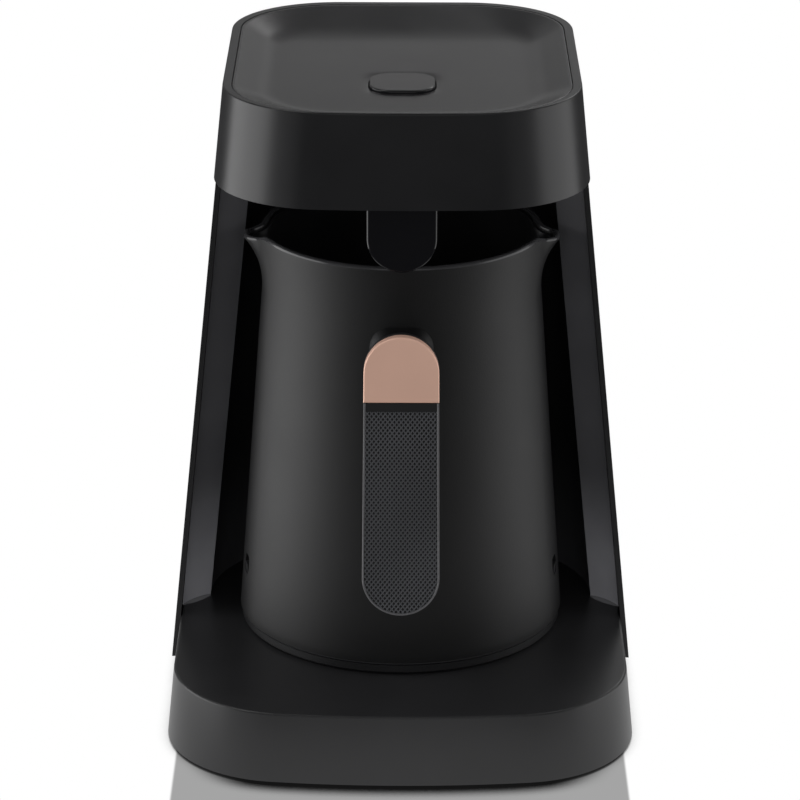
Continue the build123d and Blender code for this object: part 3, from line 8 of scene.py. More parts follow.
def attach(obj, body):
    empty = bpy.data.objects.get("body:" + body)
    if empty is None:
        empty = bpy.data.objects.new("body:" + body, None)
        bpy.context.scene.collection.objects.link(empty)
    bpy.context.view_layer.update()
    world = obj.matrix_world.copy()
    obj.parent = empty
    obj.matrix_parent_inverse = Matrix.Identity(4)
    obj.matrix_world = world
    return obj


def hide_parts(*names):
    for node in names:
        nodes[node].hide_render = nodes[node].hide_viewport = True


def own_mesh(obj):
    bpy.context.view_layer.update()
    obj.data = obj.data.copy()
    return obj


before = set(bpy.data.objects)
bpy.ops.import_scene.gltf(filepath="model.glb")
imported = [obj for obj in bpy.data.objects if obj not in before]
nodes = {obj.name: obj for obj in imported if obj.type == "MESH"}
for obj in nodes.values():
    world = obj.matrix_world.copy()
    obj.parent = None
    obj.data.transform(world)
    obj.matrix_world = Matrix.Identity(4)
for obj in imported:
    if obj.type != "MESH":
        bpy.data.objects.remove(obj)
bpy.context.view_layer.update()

# ---------------------------------------------------------------- base housing
# The base is one satin black moulding: a flat deck that the pot stands on and a
# drafted band round it, with a softly broken top edge. Its skin has a very fine
# spark-eroded grain, and it carries the deck's contact block in the middle.

SATIN_BLACK = (0.015, 0.015, 0.016)
FINE_GRAIN = 3800.0
CLOUD_SCALE = 38.0
CLOUD_DETAIL = 4.0
CLOUD_SPAN = (0.3, 0.7)
GRAIN_DETAIL = 2.0
GRAIN_HEIGHT = 0.0001
GLOSSIEST = 0.02


def finish_of(name, colour, roughness, grain, depth,
              metallic=0.0, specular=0.5, spread=0.12, wear=0.04):
    """A moulded or metal finish: faint cloudy colour, uneven gloss and a grain of its own scale."""
    material = bpy.data.materials.new(name)
    material.use_nodes = True
    tree = material.node_tree
    shader = tree.nodes["Principled BSDF"]
    shader.inputs["Metallic"].default_value = metallic
    shader.inputs["Specular IOR Level"].default_value = specular
    place = tree.nodes.new("ShaderNodeTexCoord")

    cloud = tree.nodes.new("ShaderNodeTexNoise")
    cloud.inputs["Scale"].default_value = CLOUD_SCALE
    cloud.inputs["Detail"].default_value = CLOUD_DETAIL
    tree.links.new(place.outputs["Object"], cloud.inputs["Vector"])
    tint = tree.nodes.new("ShaderNodeValToRGB")
    for stop, position, shade in zip(tint.color_ramp.elements, CLOUD_SPAN, (1 - spread, 1 + spread)):
        stop.position = position
        stop.color = (*[min(1.0, channel * shade) for channel in colour], 1)
    tree.links.new(cloud.outputs["Fac"], tint.inputs["Fac"])
    tree.links.new(tint.outputs["Color"], shader.inputs["Base Color"])

    gloss = tree.nodes.new("ShaderNodeMapRange")
    gloss.inputs["To Min"].default_value = max(GLOSSIEST, roughness - wear)
    gloss.inputs["To Max"].default_value = roughness + wear
    tree.links.new(cloud.outputs["Fac"], gloss.inputs["Value"])
    tree.links.new(gloss.outputs["Result"], shader.inputs["Roughness"])

    pits = tree.nodes.new("ShaderNodeTexNoise")
    pits.inputs["Scale"].default_value = grain
    pits.inputs["Detail"].default_value = GRAIN_DETAIL
    tree.links.new(place.outputs["Object"], pits.inputs["Vector"])
    bump = tree.nodes.new("ShaderNodeBump")
    bump.inputs["Strength"].default_value = depth
    bump.inputs["Distance"].default_value = GRAIN_HEIGHT
    tree.links.new(pits.outputs["Fac"], bump.inputs["Height"])
    tree.links.new(bump.outputs["Normal"], shader.inputs["Normal"])
    return material


def dress(material, *names):
    """Gives carried-over nodes their finish."""
    for name in names:
        mesh = nodes[name].data
        mesh.materials.clear()
        mesh.materials.append(material)


base_satin = finish_of("satin_base", SATIN_BLACK, 0.36, FINE_GRAIN, 0.10)
dress(base_satin, "base_shell")

# ---------------------------------------------------------------- base plate and feet
# A flat moulded plate closes the base from below. It is vented in the middle and
# held by four pan-head screws; four soft rubber pads sit in its round pockets.

plate_black = finish_of("moulded_plate", (0.012, 0.012, 0.013), 0.55, 2600.0, 0.25)
foot_rubber = finish_of("foot_rubber", (0.016, 0.016, 0.017), 0.72, 1500.0, 0.35, specular=0.35)
screw_zinc = finish_of("zinc_screw", (0.52, 0.52, 0.54), 0.34, 1800.0, 0.15, metallic=1.0)
dress(plate_black, "base_plate", "contact_carrier", "button_guide")
dress(foot_rubber, "rubber_feet")
dress(screw_zinc, "base_screws", "carrier_screws", "tower_screws", "head_screws", "board_screws")
dress(screw_zinc, "pot_screws", "handle_screws")

# ---------------------------------------------------------------- contacts
# Three sprung pins stand in the deck and meet a disc and two rings in the pot's
# floor. All are plated brass. Each pin rests on a coil of steel wire, wound to fit
# round its stem.

contact_brass = finish_of("plated_brass", (0.72, 0.55, 0.24), 0.26, 1400.0, 0.08, metallic=1.0)
spring_wire = finish_of("spring_wire", (0.46, 0.46, 0.48), 0.30, 2400.0, 0.10, metallic=1.0)
dress(contact_brass, "contact_pins", "contact_rings")

WELD = 1e-7
SPRING_PLACES = (0.0, -0.0110, 0.0180)
SPRING_FOOT = 0.01657
SPRING_RISE = 0.00596
COIL_RADIUS = 0.00205
WIRE_RADIUS = 0.00022
COIL_TURNS = 4
COIL_STEPS = 24
WIRE_SIDES = 8


def loft_rings(rings, close_top=False, close_bottom=False):
    """Mesh data through closed rings of equal length, first to last."""
    count = len(rings[0])
    points = [point for ring in rings for point in ring]
    faces = []
    for row in range(len(rings) - 1):
        for step in range(count):
            after = (step + 1) % count
            faces.append((row * count + step, row * count + after,
                          (row + 1) * count + after, (row + 1) * count + step))
    if close_bottom:
        faces.append(tuple(reversed(range(count))))
    if close_top:
        start = (len(rings) - 1) * count
        faces.append(tuple(range(start, start + count)))
    return points, faces


def join_to(points, faces, shape):
    """Adds another shape's points and faces to the lists of a first one."""
    start = len(points)
    points += shape[0]
    faces += [tuple(index + start for index in face) for face in shape[1]]


def smooth_piece(name, points, faces, materials, angle=40):
    """A mesh object with its materials, normals outwards and its soft edges shaded smooth."""
    mesh = bpy.data.meshes.new(name)
    mesh.from_pydata(points, [], faces)
    shape = bmesh.new()
    shape.from_mesh(mesh)
    bmesh.ops.remove_doubles(shape, verts=shape.verts, dist=WELD)
    bmesh.ops.recalc_face_normals(shape, faces=shape.faces)
    shape.to_mesh(mesh)
    shape.free()
    mesh.shade_smooth()
    mesh.set_sharp_from_angle(angle=radians(angle))
    for material in materials:
        mesh.materials.append(material)
    piece = bpy.data.objects.new(name, mesh)
    bpy.context.collection.objects.link(piece)
    return piece


def coil_rings(middle):
    """Rings of the wire that winds up round one pin."""
    rings = []
    for step in range(COIL_TURNS * COIL_STEPS + 1):
        turn = 2 * pi * step / COIL_STEPS
        level = SPRING_FOOT + SPRING_RISE * step / (COIL_TURNS * COIL_STEPS)
        ring = []
        for side in range(WIRE_SIDES):
            swing = 2 * pi * side / WIRE_SIDES
            reach = COIL_RADIUS + WIRE_RADIUS * cos(swing)
            ring.append((middle + reach * cos(turn), reach * sin(turn), level + WIRE_RADIUS * sin(swing)))
        rings.append(ring)
    return rings


coil_points = []
coil_faces = []
for middle in SPRING_PLACES:
    join_to(coil_points, coil_faces, loft_rings(coil_rings(middle), True, True))
coils = smooth_piece("contact_coils", coil_points, coil_faces, [spring_wire])
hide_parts("contact_springs")
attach(coils, "machine")
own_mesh(coils)

# ---------------------------------------------------------------- tower
# The tower is a thin moulded skin round a matt black liner, screwed to the base below
# it and to the head above. The liner's front strips carry a painted highlight: their
# colour is scaled up over the niche's, most of all at their feet.

liner_black = finish_of("liner_matt", (0.0200, 0.0200, 0.0215), 0.52, 2200.0, 0.22, specular=0.42)
skin_black = finish_of("satin_skin", (0.008, 0.008, 0.009), 0.46, 3200.0, 0.16)
# Where the painted highlight lies on the liner's front strips, and how strong it is.
STRIP_DEPTHS = (0.0118, 0.0130)
STRIP_HIGHLIGHT_GAIN = 4.8
FOOT_HEIGHTS = (0.028, 0.080)
FOOT_HIGHLIGHT_GAIN = 4.5


def ramp_node(tree, source, low, high, out_low, out_high, blend="SMOOTHSTEP"):
    """A value that runs from one level to another between two places, smoothly or evenly."""
    step = tree.nodes.new("ShaderNodeMapRange")
    step.interpolation_type = blend
    step.inputs["From Min"].default_value = low
    step.inputs["From Max"].default_value = high
    step.inputs["To Min"].default_value = out_low
    step.inputs["To Max"].default_value = out_high
    tree.links.new(source, step.inputs["Value"])
    return step.outputs["Result"]


def calculate(tree, operation, *inputs):
    """One arithmetic step on sockets or plain numbers."""
    step = tree.nodes.new("ShaderNodeMath")
    step.operation = operation
    for index, value in enumerate(inputs):
        if isinstance(value, (int, float)):
            step.inputs[index].default_value = value
        else:
            tree.links.new(value, step.inputs[index])
    return step.outputs[0]


def split_place(tree, coordinates):
    """The X, Y and Z sockets of one kind of texture coordinate."""
    place = tree.nodes.new("ShaderNodeTexCoord")
    split = tree.nodes.new("ShaderNodeSeparateXYZ")
    tree.links.new(place.outputs[coordinates], split.inputs["Vector"])
    return [split.outputs[axis] for axis in "XYZ"]


def paint_highlight_ahead(material, depths, gain, heights, foot_gain):
    """Paints a highlight: scales a finish's colour up on its front faces, between two depths, and more so
    low down.
    """
    tree = material.node_tree
    shader = tree.nodes["Principled BSDF"]
    tint = shader.inputs["Base Color"].links[0].from_socket
    _, depth, height = split_place(tree, "Object")
    ahead = ramp_node(tree, depth, *depths, gain, 1.0, "LINEAR")
    foot = ramp_node(tree, height, *heights, foot_gain, 1.0)
    scale = tree.nodes.new("ShaderNodeVectorMath")
    scale.operation = "SCALE"
    tree.links.new(tint, scale.inputs[0])
    tree.links.new(calculate(tree, "MULTIPLY", ahead, foot), scale.inputs["Scale"])
    tree.links.new(scale.outputs["Vector"], shader.inputs["Base Color"])


# Painted highlight on the liner's front strips, strongest at their feet.
paint_highlight_ahead(liner_black, STRIP_DEPTHS, STRIP_HIGHLIGHT_GAIN, FOOT_HEIGHTS, FOOT_HIGHLIGHT_GAIN)
dress(liner_black, "tower_liner")
dress(skin_black, "outer_shell")
dress(foot_rubber, "cord_gland")

# ---------------------------------------------------------------- foot coves
# A small cove is moulded in the corner where each front strip meets the deck. It is
# glossier than the liner, its light grey colour is a painted highlight at the bend, and
# it fades out at both ends.

DECK = 0.0263
COVE_RADIUS = 0.0015
COVE_START = Vector((0.0786, 0.0030))
COVE_END = Vector((0.0690, 0.0120))
COVE_SINK = -0.00005
COVE_THIN = 0.15
COVE_SWELL = 0.6
COVE_STEPS = 24
COVE_TURNS = 8


def foot_cove(name, side):
    """Quarter-round cove along the foot of one strip, on the left, -1, or the right, 1."""
    run = COVE_END - COVE_START
    out = Vector((-run.y, run.x)).normalized()
    rings = []
    for step in range(COVE_STEPS + 1):
        share = step / COVE_STEPS
        radius = COVE_RADIUS * (COVE_THIN + (1 - COVE_THIN) * sin(pi * share) ** COVE_SWELL)
        ring = [(COVE_SINK, COVE_SINK)]
        for turn in range(COVE_TURNS + 1):
            swing = pi / 2 * turn / COVE_TURNS
            ring.append((radius * (1 - sin(swing)), radius * (1 - cos(swing))))
        foot = COVE_START + run * share
        rings.append([(side * (foot.x + out.x * away), foot.y + out.y * away, DECK + up)
                      for away, up in ring])
    piece = smooth_piece(name, *loft_rings(rings, True, True), [cove_highlight])
    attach(piece, "machine")


# Light grey colour: a painted highlight along the cove, far paler than the liner.
cove_highlight = finish_of("cove_painted_highlight", (0.200, 0.200, 0.210), 0.24, 2400.0, 0.06)
foot_cove("foot_cove_left", -1)
foot_cove("foot_cove_right", 1)

# ---------------------------------------------------------------- boards
# The power board stands in the tower and the control board lies in the head, both
# screwed to posts. A small sensor board stands in the nose. They are green glass fibre
# with black and blue blocks, a yellow capacitor and grey sleeved leads.

board_green = finish_of("board_green", (0.020, 0.120, 0.050), 0.38, 900.0, 0.20, spread=0.25)
part_black = finish_of("component_black", (0.014, 0.014, 0.015), 0.45, 1500.0, 0.15)
relay_blue = finish_of("relay_blue", (0.030, 0.110, 0.360), 0.40, 1500.0, 0.10)
film_yellow = finish_of("capacitor_yellow", (0.620, 0.420, 0.050), 0.42, 1200.0, 0.15)
sleeve_grey = finish_of("wire_sleeve", (0.060, 0.060, 0.065), 0.60, 1800.0, 0.30)
dress(board_green, "sensor_board", "control_board", "power_board")
dress(part_black, "tact_switch", "switch_plunger", "buzzer", "transformer", "thermostat")
dress(relay_blue, "relay", "terminal_block")
dress(film_yellow, "mains_capacitor")
dress(sleeve_grey, "wire_harness")

# ---------------------------------------------------------------- head
# The head is a drafted ring of satin black plastic, closed below by a plain plate that
# is screwed to it. A glossy dark tongue with the boil sensor behind it hangs from the
# plate in front.

head_satin = finish_of("satin_head", (0.008, 0.008, 0.009), 0.30, FINE_GRAIN, 0.06)
underside_black = finish_of("head_plate", (0.006, 0.006, 0.007), 0.5, 2600.0, 0.25)
nose_gloss = finish_of("sensor_gloss", (0.003, 0.003, 0.004), 0.08, 5200.0, 0.02, spread=0.05, wear=0.02)
dress(head_satin, "head_band")
dress(underside_black, "head_underside")
dress(nose_gloss, "sensor_nose")

# ---------------------------------------------------------------- top panel and button
# The panel is a shallow dish of charcoal plastic, let into the head with a hairline
# seam round it. The one button floats in it and stands a millimetre proud.

panel_grey = finish_of("panel_charcoal", (0.008, 0.008, 0.009), 0.24, 3600.0, 0.06)
button_grey = finish_of("button_charcoal", (0.008, 0.008, 0.009), 0.20, 3600.0, 0.05)
dress(button_grey, "button")

HEAD_HALF = 0.0597
HEAD_FRONT = 0.0698
HEAD_BACK = 0.0767
HEAD_CORNER = 0.0372
FRONT_BOW = 0.420
SEAM = (0.00315, 0.00105, 0.00415)
RIM_FLAT = (0.0010, 0.0007, 0.0012)
DISH_RUN = (0.014, 0.012, 0.040)
DISH_DEPTH = 0.003
PANEL_TOP = 0.2309
PANEL_SEAT = 0.22765
PANEL_UNDER = 0.2257
PAN_STEP = 0.0043
EDGE_ROUND = 0.00025
DISH_RINGS = 26
HOLE_RINGS = 8
BUTTON_MIDDLE = (0.0, -0.023)
HOLE = (0.0226, 0.0236, 0.0083)
HOLE_SEARCH = 0.03
HALVINGS = 30
BOW_STEPS = 14
CORNER_STEPS = 20
SIDE_STEPS = 12
BACK_STEPS = 10
EDGE_STEPS = 4
STRAIGHT_FALL = 0.5
CROWDING = 1.3


def head_outline(side, front, rear):
    """Closed outline of the head set in by three amounts: bowed front, rounded corners, flat back."""
    half, ahead, back = HEAD_HALF - side, HEAD_FRONT - front, HEAD_BACK - rear
    bow = FRONT_BOW - front
    front_corner = HEAD_CORNER - (side + front) / 2
    rear_corner = HEAD_CORNER - (side + rear) / 2
    bow_centre = bow - ahead
    inset = half - front_corner
    corner_y = bow_centre - sqrt((bow - front_corner) ** 2 - inset ** 2)
    lean = asin(inset / (bow - front_corner))
    right = []
    for step in range(BOW_STEPS):
        swing = lean * step / BOW_STEPS
        right.append((bow * sin(swing), bow_centre - bow * cos(swing)))
    for step in range(CORNER_STEPS + 1):
        swing = -(pi / 2 - lean) + (pi / 2 - lean) * step / CORNER_STEPS
        right.append((inset + front_corner * cos(swing), corner_y + front_corner * sin(swing)))
    for step in range(1, SIDE_STEPS):
        right.append((half, corner_y + (back - rear_corner - corner_y) * step / SIDE_STEPS))
    for step in range(CORNER_STEPS + 1):
        swing = pi / 2 * step / CORNER_STEPS
        right.append((half - rear_corner + rear_corner * cos(swing),
                      back - rear_corner + rear_corner * sin(swing)))
    for step in range(1, BACK_STEPS + 1):
        right.append(((half - rear_corner) * (1 - step / BACK_STEPS), back))
    return right + [(-x, y) for x, y in reversed(right[1:-1])]


def dish_fall(share):
    """How far the dish has fallen at a share of its run: an even slope that eases into the floor."""
    eased = max(0.0, share - STRAIGHT_FALL)
    fall = share - eased ** 2 / (2 * (1 - STRAIGHT_FALL))
    return fall / (STRAIGHT_FALL + (1 - STRAIGHT_FALL) / 2)


def hole_point(x, y, grow=0.0):
    """Point of the button's opening in the direction of an outline point."""
    width, depth, corner = HOLE[0] / 2 + grow, HOLE[1] / 2 + grow, HOLE[2] + grow
    dx, dy = x - BUTTON_MIDDLE[0], y - BUTTON_MIDDLE[1]
    reach = hypot(dx, dy)
    dx, dy = dx / reach, dy / reach
    near, far = 0.0, HOLE_SEARCH
    for _ in range(HALVINGS):
        middle = (near + far) / 2
        ox = max(0.0, abs(dx * middle) - (width - corner))
        oy = max(0.0, abs(dy * middle) - (depth - corner))
        inside = hypot(ox, oy) < corner and abs(dx * middle) < width and abs(dy * middle) < depth
        near, far = (middle, far) if inside else (near, middle)
    return BUTTON_MIDDLE[0] + dx * near, BUTTON_MIDDLE[1] + dy * near


def panel_ring(level, *insets):
    """Outline of the panel at a height."""
    return [(x, y, level) for x, y in head_outline(*insets)]


FLOOR_LEVEL = PANEL_TOP - DISH_DEPTH
rim_flat = [seam + flat for seam, flat in zip(SEAM, RIM_FLAT)]
pan = [seam + PAN_STEP for seam in SEAM]
dish_rings = [panel_ring(PANEL_UNDER, *pan), panel_ring(PANEL_SEAT, *pan), panel_ring(PANEL_SEAT, *SEAM)]
for step in range(EDGE_STEPS + 1):
    swing = pi / 2 * step / EDGE_STEPS
    inner = [seam + EDGE_ROUND * (1 - cos(swing)) for seam in SEAM]
    dish_rings.append(panel_ring(PANEL_TOP - EDGE_ROUND * (1 - sin(swing)), *inner))
for step in range(DISH_RINGS + 1):
    share = (step / DISH_RINGS) ** CROWDING
    inner = [flat + run * share for flat, run in zip(rim_flat, DISH_RUN)]
    dish_rings.append(panel_ring(PANEL_TOP - DISH_DEPTH * dish_fall(share), *inner))
inner_edge = dish_rings[-1]
for step in range(1, HOLE_RINGS + 1):
    share = step / HOLE_RINGS
    ring = []
    for x, y, _ in inner_edge:
        hx, hy = hole_point(x, y, EDGE_ROUND)
        ring.append((x + (hx - x) * share, y + (hy - y) * share, FLOOR_LEVEL))
    dish_rings.append(ring)
for step in range(1, EDGE_STEPS + 1):
    swing = pi / 2 * step / EDGE_STEPS
    ring = []
    for x, y, _ in inner_edge:
        hx, hy = hole_point(x, y, EDGE_ROUND * (1 - sin(swing)))
        ring.append((hx, hy, FLOOR_LEVEL - EDGE_ROUND * (1 - cos(swing))))
    dish_rings.append(ring)
dish_rings.append([(*hole_point(x, y), PANEL_UNDER) for x, y, _ in inner_edge])
dish_rings.append(dish_rings[0])
dish = smooth_piece("panel_dish", *loft_rings(dish_rings), [panel_grey], angle=50)
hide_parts("top_panel")
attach(dish, "machine")

# ---------------------------------------------------------------- pot
# The pot's wall is moulded in matt black plastic with a fine even grain, two spouts and
# a smooth rounded rim. The rim and the rounded edge at the foot are lighter than the
# wall: a painted highlight. A rubber seal below the neck fills the gap round the vessel.
# A cup closes the pot from below, and carries the contact rings and the heater.

pot_matt = finish_of("pot_matt", (0.0035, 0.0035, 0.0040), 0.54, 1500.0, 0.30, spread=0.2)
vessel_dark = finish_of("vessel_dark", (0.030, 0.030, 0.032), 0.34, 1800.0, 0.12, metallic=0.6)
heater_cast = finish_of("heater_cast", (0.60, 0.60, 0.62), 0.45, 900.0, 0.30, metallic=1.0)
# Smoother than the wall, and lighter: a painted highlight for the rim and the foot's round edge.
smooth_rim_highlight = finish_of("smooth_rim_highlight", (0.030, 0.030, 0.032), 0.20, 2400.0, 0.06, wear=0.06)
dress(vessel_dark, "heater_element")
dress(heater_cast, "heater_plate")
cup_satin = finish_of("cup_satin", (0.009, 0.009, 0.010), 0.44, 2400.0, 0.12)
dress(cup_satin, "pot_base")
dress(foot_rubber, "vessel_seal")

POT_FOOT = 0.0303
POT_NECK = 0.150
POT_RIM = 0.172
FOOT_RADIUS = 0.0575
POT_DRAFT = 0.0742
NECK_FLARE = 0.0009
WALL = 0.0022
BEAD_RADIUS = WALL / 2
LIP_DIP = 0.0034
LIP_REACH = 0.0062
LIP_START = 0.1505
LIP_END = 0.168
LIP_HALF_WIDTH = radians(7.2)
LIP_SPREAD = 0.8
DIP_HALF_WIDTH = radians(13)
FOOT_ROUND = 0.0006
AROUND_POT = 240
WALL_LEVELS = (0.034, 0.040, 0.0460, 0.0483, 0.0506, 0.0529, 0.062, 0.080, 0.100, 0.120, 0.138, 0.148)
NECK_RINGS = 14
BEAD_RINGS = 10
WINDOW_LEVELS = (WALL_LEVELS[2], WALL_LEVELS[5])
WINDOW_CELLS = ((127, 131), (229, 233))
WINDOW_CORNER = 0.0006
FOOT_RINGS = 4
CONE_START = 0.030
DIP_STEEP = 5
LIP_GROWTH = 2.5
SAME_LEVEL = 1e-6
RIM_HIGHLIGHT_FACES = 1


def beside(turn, half_width, steep=4):
    """One at the two sides of the pot, falling away with the angle from them."""
    away = min(abs(turn - side) for side in (0.0, pi, 2 * pi))
    return 1 / (1 + (away / half_width) ** steep)


def rim_level(turn):
    """Height of the rim: level, with a lip that droops at each spout."""
    return POT_RIM - LIP_DIP * beside(turn, DIP_HALF_WIDTH, DIP_STEEP)


def pot_radius(level, turn):
    """Outside of the pot: a cone, a slight flare above the neck and two pointed spouts."""
    cone = FOOT_RADIUS - POT_DRAFT * (min(level, POT_NECK) - CONE_START)
    rise = min(1.0, max(0.0, level - POT_NECK) / (POT_RIM - POT_NECK))
    lift = max(0.0, level - LIP_START) / (LIP_END - LIP_START)
    half_width = LIP_HALF_WIDTH * (1 + LIP_SPREAD * max(0.0, 1 - lift))
    return cone + NECK_FLARE * rise ** 2 + LIP_REACH * beside(turn, half_width) * lift ** LIP_GROWTH


def turned_ring(level, inset=0.0):
    """Points round the pot; level is a height or a function of the angle."""
    ring = []
    for step in range(AROUND_POT):
        turn = 2 * pi * step / AROUND_POT
        height = level(turn) if callable(level) else level
        reach = pot_radius(height, turn) - inset
        ring.append((reach * cos(turn), reach * sin(turn), height))
    return ring


def neck_ring(share, inset=0.0):
    """Ring part of the way from the last plain level up to the rim's bead."""
    foot = WALL_LEVELS[-1]
    return turned_ring(lambda turn: foot + (rim_level(turn) - BEAD_RADIUS - foot) * share, inset)


def bead_ring(swing):
    """Ring over the rounded rim: swing runs from the outside, 0, to the inside, pi."""
    ring = []
    for step in range(AROUND_POT):
        turn = 2 * pi * step / AROUND_POT
        centre = rim_level(turn) - BEAD_RADIUS
        reach = pot_radius(centre, turn) - BEAD_RADIUS * (1 - cos(swing))
        ring.append((reach * cos(turn), reach * sin(turn), centre + BEAD_RADIUS * sin(swing)))
    return ring


wall_rings = []
for step in range(FOOT_RINGS, -1, -1):
    swing = pi / 2 * step / FOOT_RINGS
    wall_rings.append(turned_ring(POT_FOOT + FOOT_ROUND * (1 - sin(swing)), FOOT_ROUND * (1 - cos(swing))))
wall_rings += [turned_ring(level) for level in WALL_LEVELS]
wall_rings += [neck_ring(step / NECK_RINGS) for step in range(1, NECK_RINGS)]
wall_rings += [bead_ring(pi * step / BEAD_RINGS) for step in range(BEAD_RINGS + 1)]
wall_rings += [neck_ring(step / NECK_RINGS, WALL) for step in range(NECK_RINGS - 1, 0, -1)]
wall_rings += [turned_ring(level, WALL) for level in reversed(WALL_LEVELS)]
wall_rings += [turned_ring(POT_FOOT, WALL), wall_rings[0]]
wall_points, whole_wall = loft_rings(wall_rings)


def is_window(face):
    """Whether a face of the wall lies in one of the two latch openings."""
    heights = [wall_points[index][2] for index in face]
    column = min(index % AROUND_POT for index in face)
    low_edge, high_edge = WINDOW_LEVELS
    inside = min(heights) > low_edge - SAME_LEVEL and max(heights) < high_edge + SAME_LEVEL
    return inside and any(low <= column < high for low, high in WINDOW_CELLS)


def rows_at(level):
    """The outer and the inner row of points of the wall at a height."""
    rows = [row for row, ring in enumerate(wall_rings) if abs(ring[0][2] - level) < SAME_LEVEL]
    return rows[0], rows[-1]


wall_faces = [face for face in whole_wall if not is_window(face)]
first_outer, last_inner = rows_at(WINDOW_LEVELS[0])
last_outer, first_inner = rows_at(WINDOW_LEVELS[1])


def at(row, column):
    """Index of a point by its ring and its place in the ring."""
    return row * AROUND_POT + column


for low, high in WINDOW_CELLS:
    for column in range(low, high):
        wall_faces.append((at(first_outer, column), at(first_outer, column + 1),
                           at(last_inner, column + 1), at(last_inner, column)))
        wall_faces.append((at(last_outer, column + 1), at(last_outer, column),
                           at(first_inner, column), at(first_inner, column + 1)))
    for column in (low, high):
        for step in range(last_outer - first_outer):
            wall_faces.append((at(first_outer + step, column), at(first_outer + step + 1, column),
                               at(last_inner - step - 1, column), at(last_inner - step, column)))
    for column, aside in ((low, 1), (high, -1)):
        for row, up in ((first_outer, 1), (last_inner, 1), (last_outer, -1), (first_inner, -1)):
            x, y, z = wall_points[at(row, column)]
            swing = aside * WINDOW_CORNER / hypot(x, y)
            wall_points[at(row, column)] = (x * cos(swing) - y * sin(swing), x * sin(swing) + y * cos(swing),
                                            z + up * WINDOW_CORNER)

# The handle's arm is moulded with the wall, a rounded bar that swells where it meets it.
ARM_WIDTH = 0.017
ARM_HEIGHT = 0.019
ARM_CORNER = 0.005
ARM_SWELL = 0.003
HANDLE_MIDDLE = Vector((0, -0.081676, 0.1095))
HANDLE_LEAN = 0.10696
HANDLE_OUT = Vector((0, -1, HANDLE_LEAN)).normalized()
HANDLE_UP = Vector((0, HANDLE_LEAN, 1)).normalized()
HANDLE_THICKNESS = 0.0096
HANDLE_GAP = 0.00005
ARM_LEVEL = 0.142
ARM_RISE = (ARM_LEVEL - HANDLE_MIDDLE.z) / HANDLE_UP.z
ARM_RINGS = 10
SWELL_START = 0.6
WALL_SEARCH = 0.060
HANDLE_TURN = 1.5 * pi


def rounded_loop(width, height, corner, turns=8):
    """Flat points of a rounded rectangle about its own middle, counter-clockwise."""
    loop = []
    for quarter, (sx, sy) in enumerate(((1, 1), (-1, 1), (-1, -1), (1, -1))):
        for step in range(turns + 1):
            swing = pi / 2 * (quarter + step / turns)
            loop.append((sx * (width / 2 - corner) + corner * cos(swing),
                         sy * (height / 2 - corner) + corner * sin(swing)))
    return loop


def on_handle(across, up, behind):
    """Point of the handle's frame: across and up its face, and a depth behind it."""
    return HANDLE_MIDDLE + Vector((across, 0, 0)) + HANDLE_UP * up - HANDLE_OUT * behind


def depth_to_wall(across, up):
    """How far behind the handle's face the middle of the pot's wall lies."""
    near, far = 0.0, WALL_SEARCH
    for _ in range(HALVINGS):
        middle = (near + far) / 2
        x, y, z = on_handle(across, up, middle)
        outside = hypot(x, y) > pot_radius(z, HANDLE_TURN) - BEAD_RADIUS
        near, far = (middle, far) if outside else (near, middle)
    return near


arm_start = HANDLE_THICKNESS + HANDLE_GAP
arm_rings = []
for step in range(ARM_RINGS + 1):
    share = step / ARM_RINGS
    grow = ARM_SWELL * max(0.0, (share - SWELL_START) / (1 - SWELL_START)) ** 2
    ring = []
    for across, up in rounded_loop(ARM_WIDTH + 2 * grow, ARM_HEIGHT + 2 * grow, ARM_CORNER + grow):
        end = depth_to_wall(across, ARM_RISE + up)
        ring.append(tuple(on_handle(across, ARM_RISE + up, arm_start + (end - arm_start) * share)))
    arm_rings.append(ring)
join_to(wall_points, wall_faces, loft_rings(arm_rings, True, True))
pot_wall = smooth_piece("pot_wall", wall_points, wall_faces, [pot_matt, smooth_rim_highlight])
# The rim's bead and the foot's round edge take the painted highlight finish.
for face in pot_wall.data.polygons:
    turn = atan2(face.center.y, face.center.x) % (2 * pi)
    if face.center.z > rim_level(turn) - BEAD_RADIUS or face.center.z < POT_FOOT + FOOT_ROUND:
        face.material_index = RIM_HIGHLIGHT_FACES
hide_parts("pot_shell")
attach(pot_wall, "pot")

# ---------------------------------------------------------------- vessel
# The bowl that holds the coffee is pressed from dark steel sheet. It hangs inside the
# wall, just under the rim, follows the two spouts and is rounded into a flat floor.

VESSEL_FLOOR = 0.054
VESSEL_CORNER = 0.009
VESSEL_DRAFT = 0.02
VESSEL_GAP = 0.0001
VESSEL_SHEET = 0.0009
VESSEL_DROP = 0.0016
VESSEL_LEVELS = (0.080, 0.110, 0.138, WALL_LEVELS[-1])
CORNER_RINGS = 8
EDGE_RINGS = 6


def vessel_ring(level, inset):
    """Points round the bowl; below the neck it narrows away from the pot's wall."""
    ring = []
    for step in range(AROUND_POT):
        turn = 2 * pi * step / AROUND_POT
        height = level(turn) if callable(level) else level
        taper = VESSEL_DRAFT * max(0.0, POT_NECK - height)
        reach = pot_radius(max(height, POT_NECK), turn) - WALL - VESSEL_GAP - taper - inset
        ring.append((reach * cos(turn), reach * sin(turn), height))
    return ring


def vessel_side(inset):
    """Rings of one face of the bowl, from its floor to just under the rim."""
    round_radius = VESSEL_CORNER - inset
    rings = []
    for step in range(CORNER_RINGS + 1):
        swing = pi / 2 * step / CORNER_RINGS
        level = VESSEL_FLOOR + inset + round_radius * (1 - cos(swing))
        rings.append(vessel_ring(level, inset + round_radius * (1 - sin(swing))))
    rings += [vessel_ring(level, inset) for level in VESSEL_LEVELS]
    foot = VESSEL_LEVELS[-1]
    top = VESSEL_DROP + VESSEL_SHEET / 2
    for step in range(1, NECK_RINGS + 1):
        share = step / NECK_RINGS
        rings.append(vessel_ring(lambda turn: foot + (rim_level(turn) - top - foot) * share, inset))
    return rings


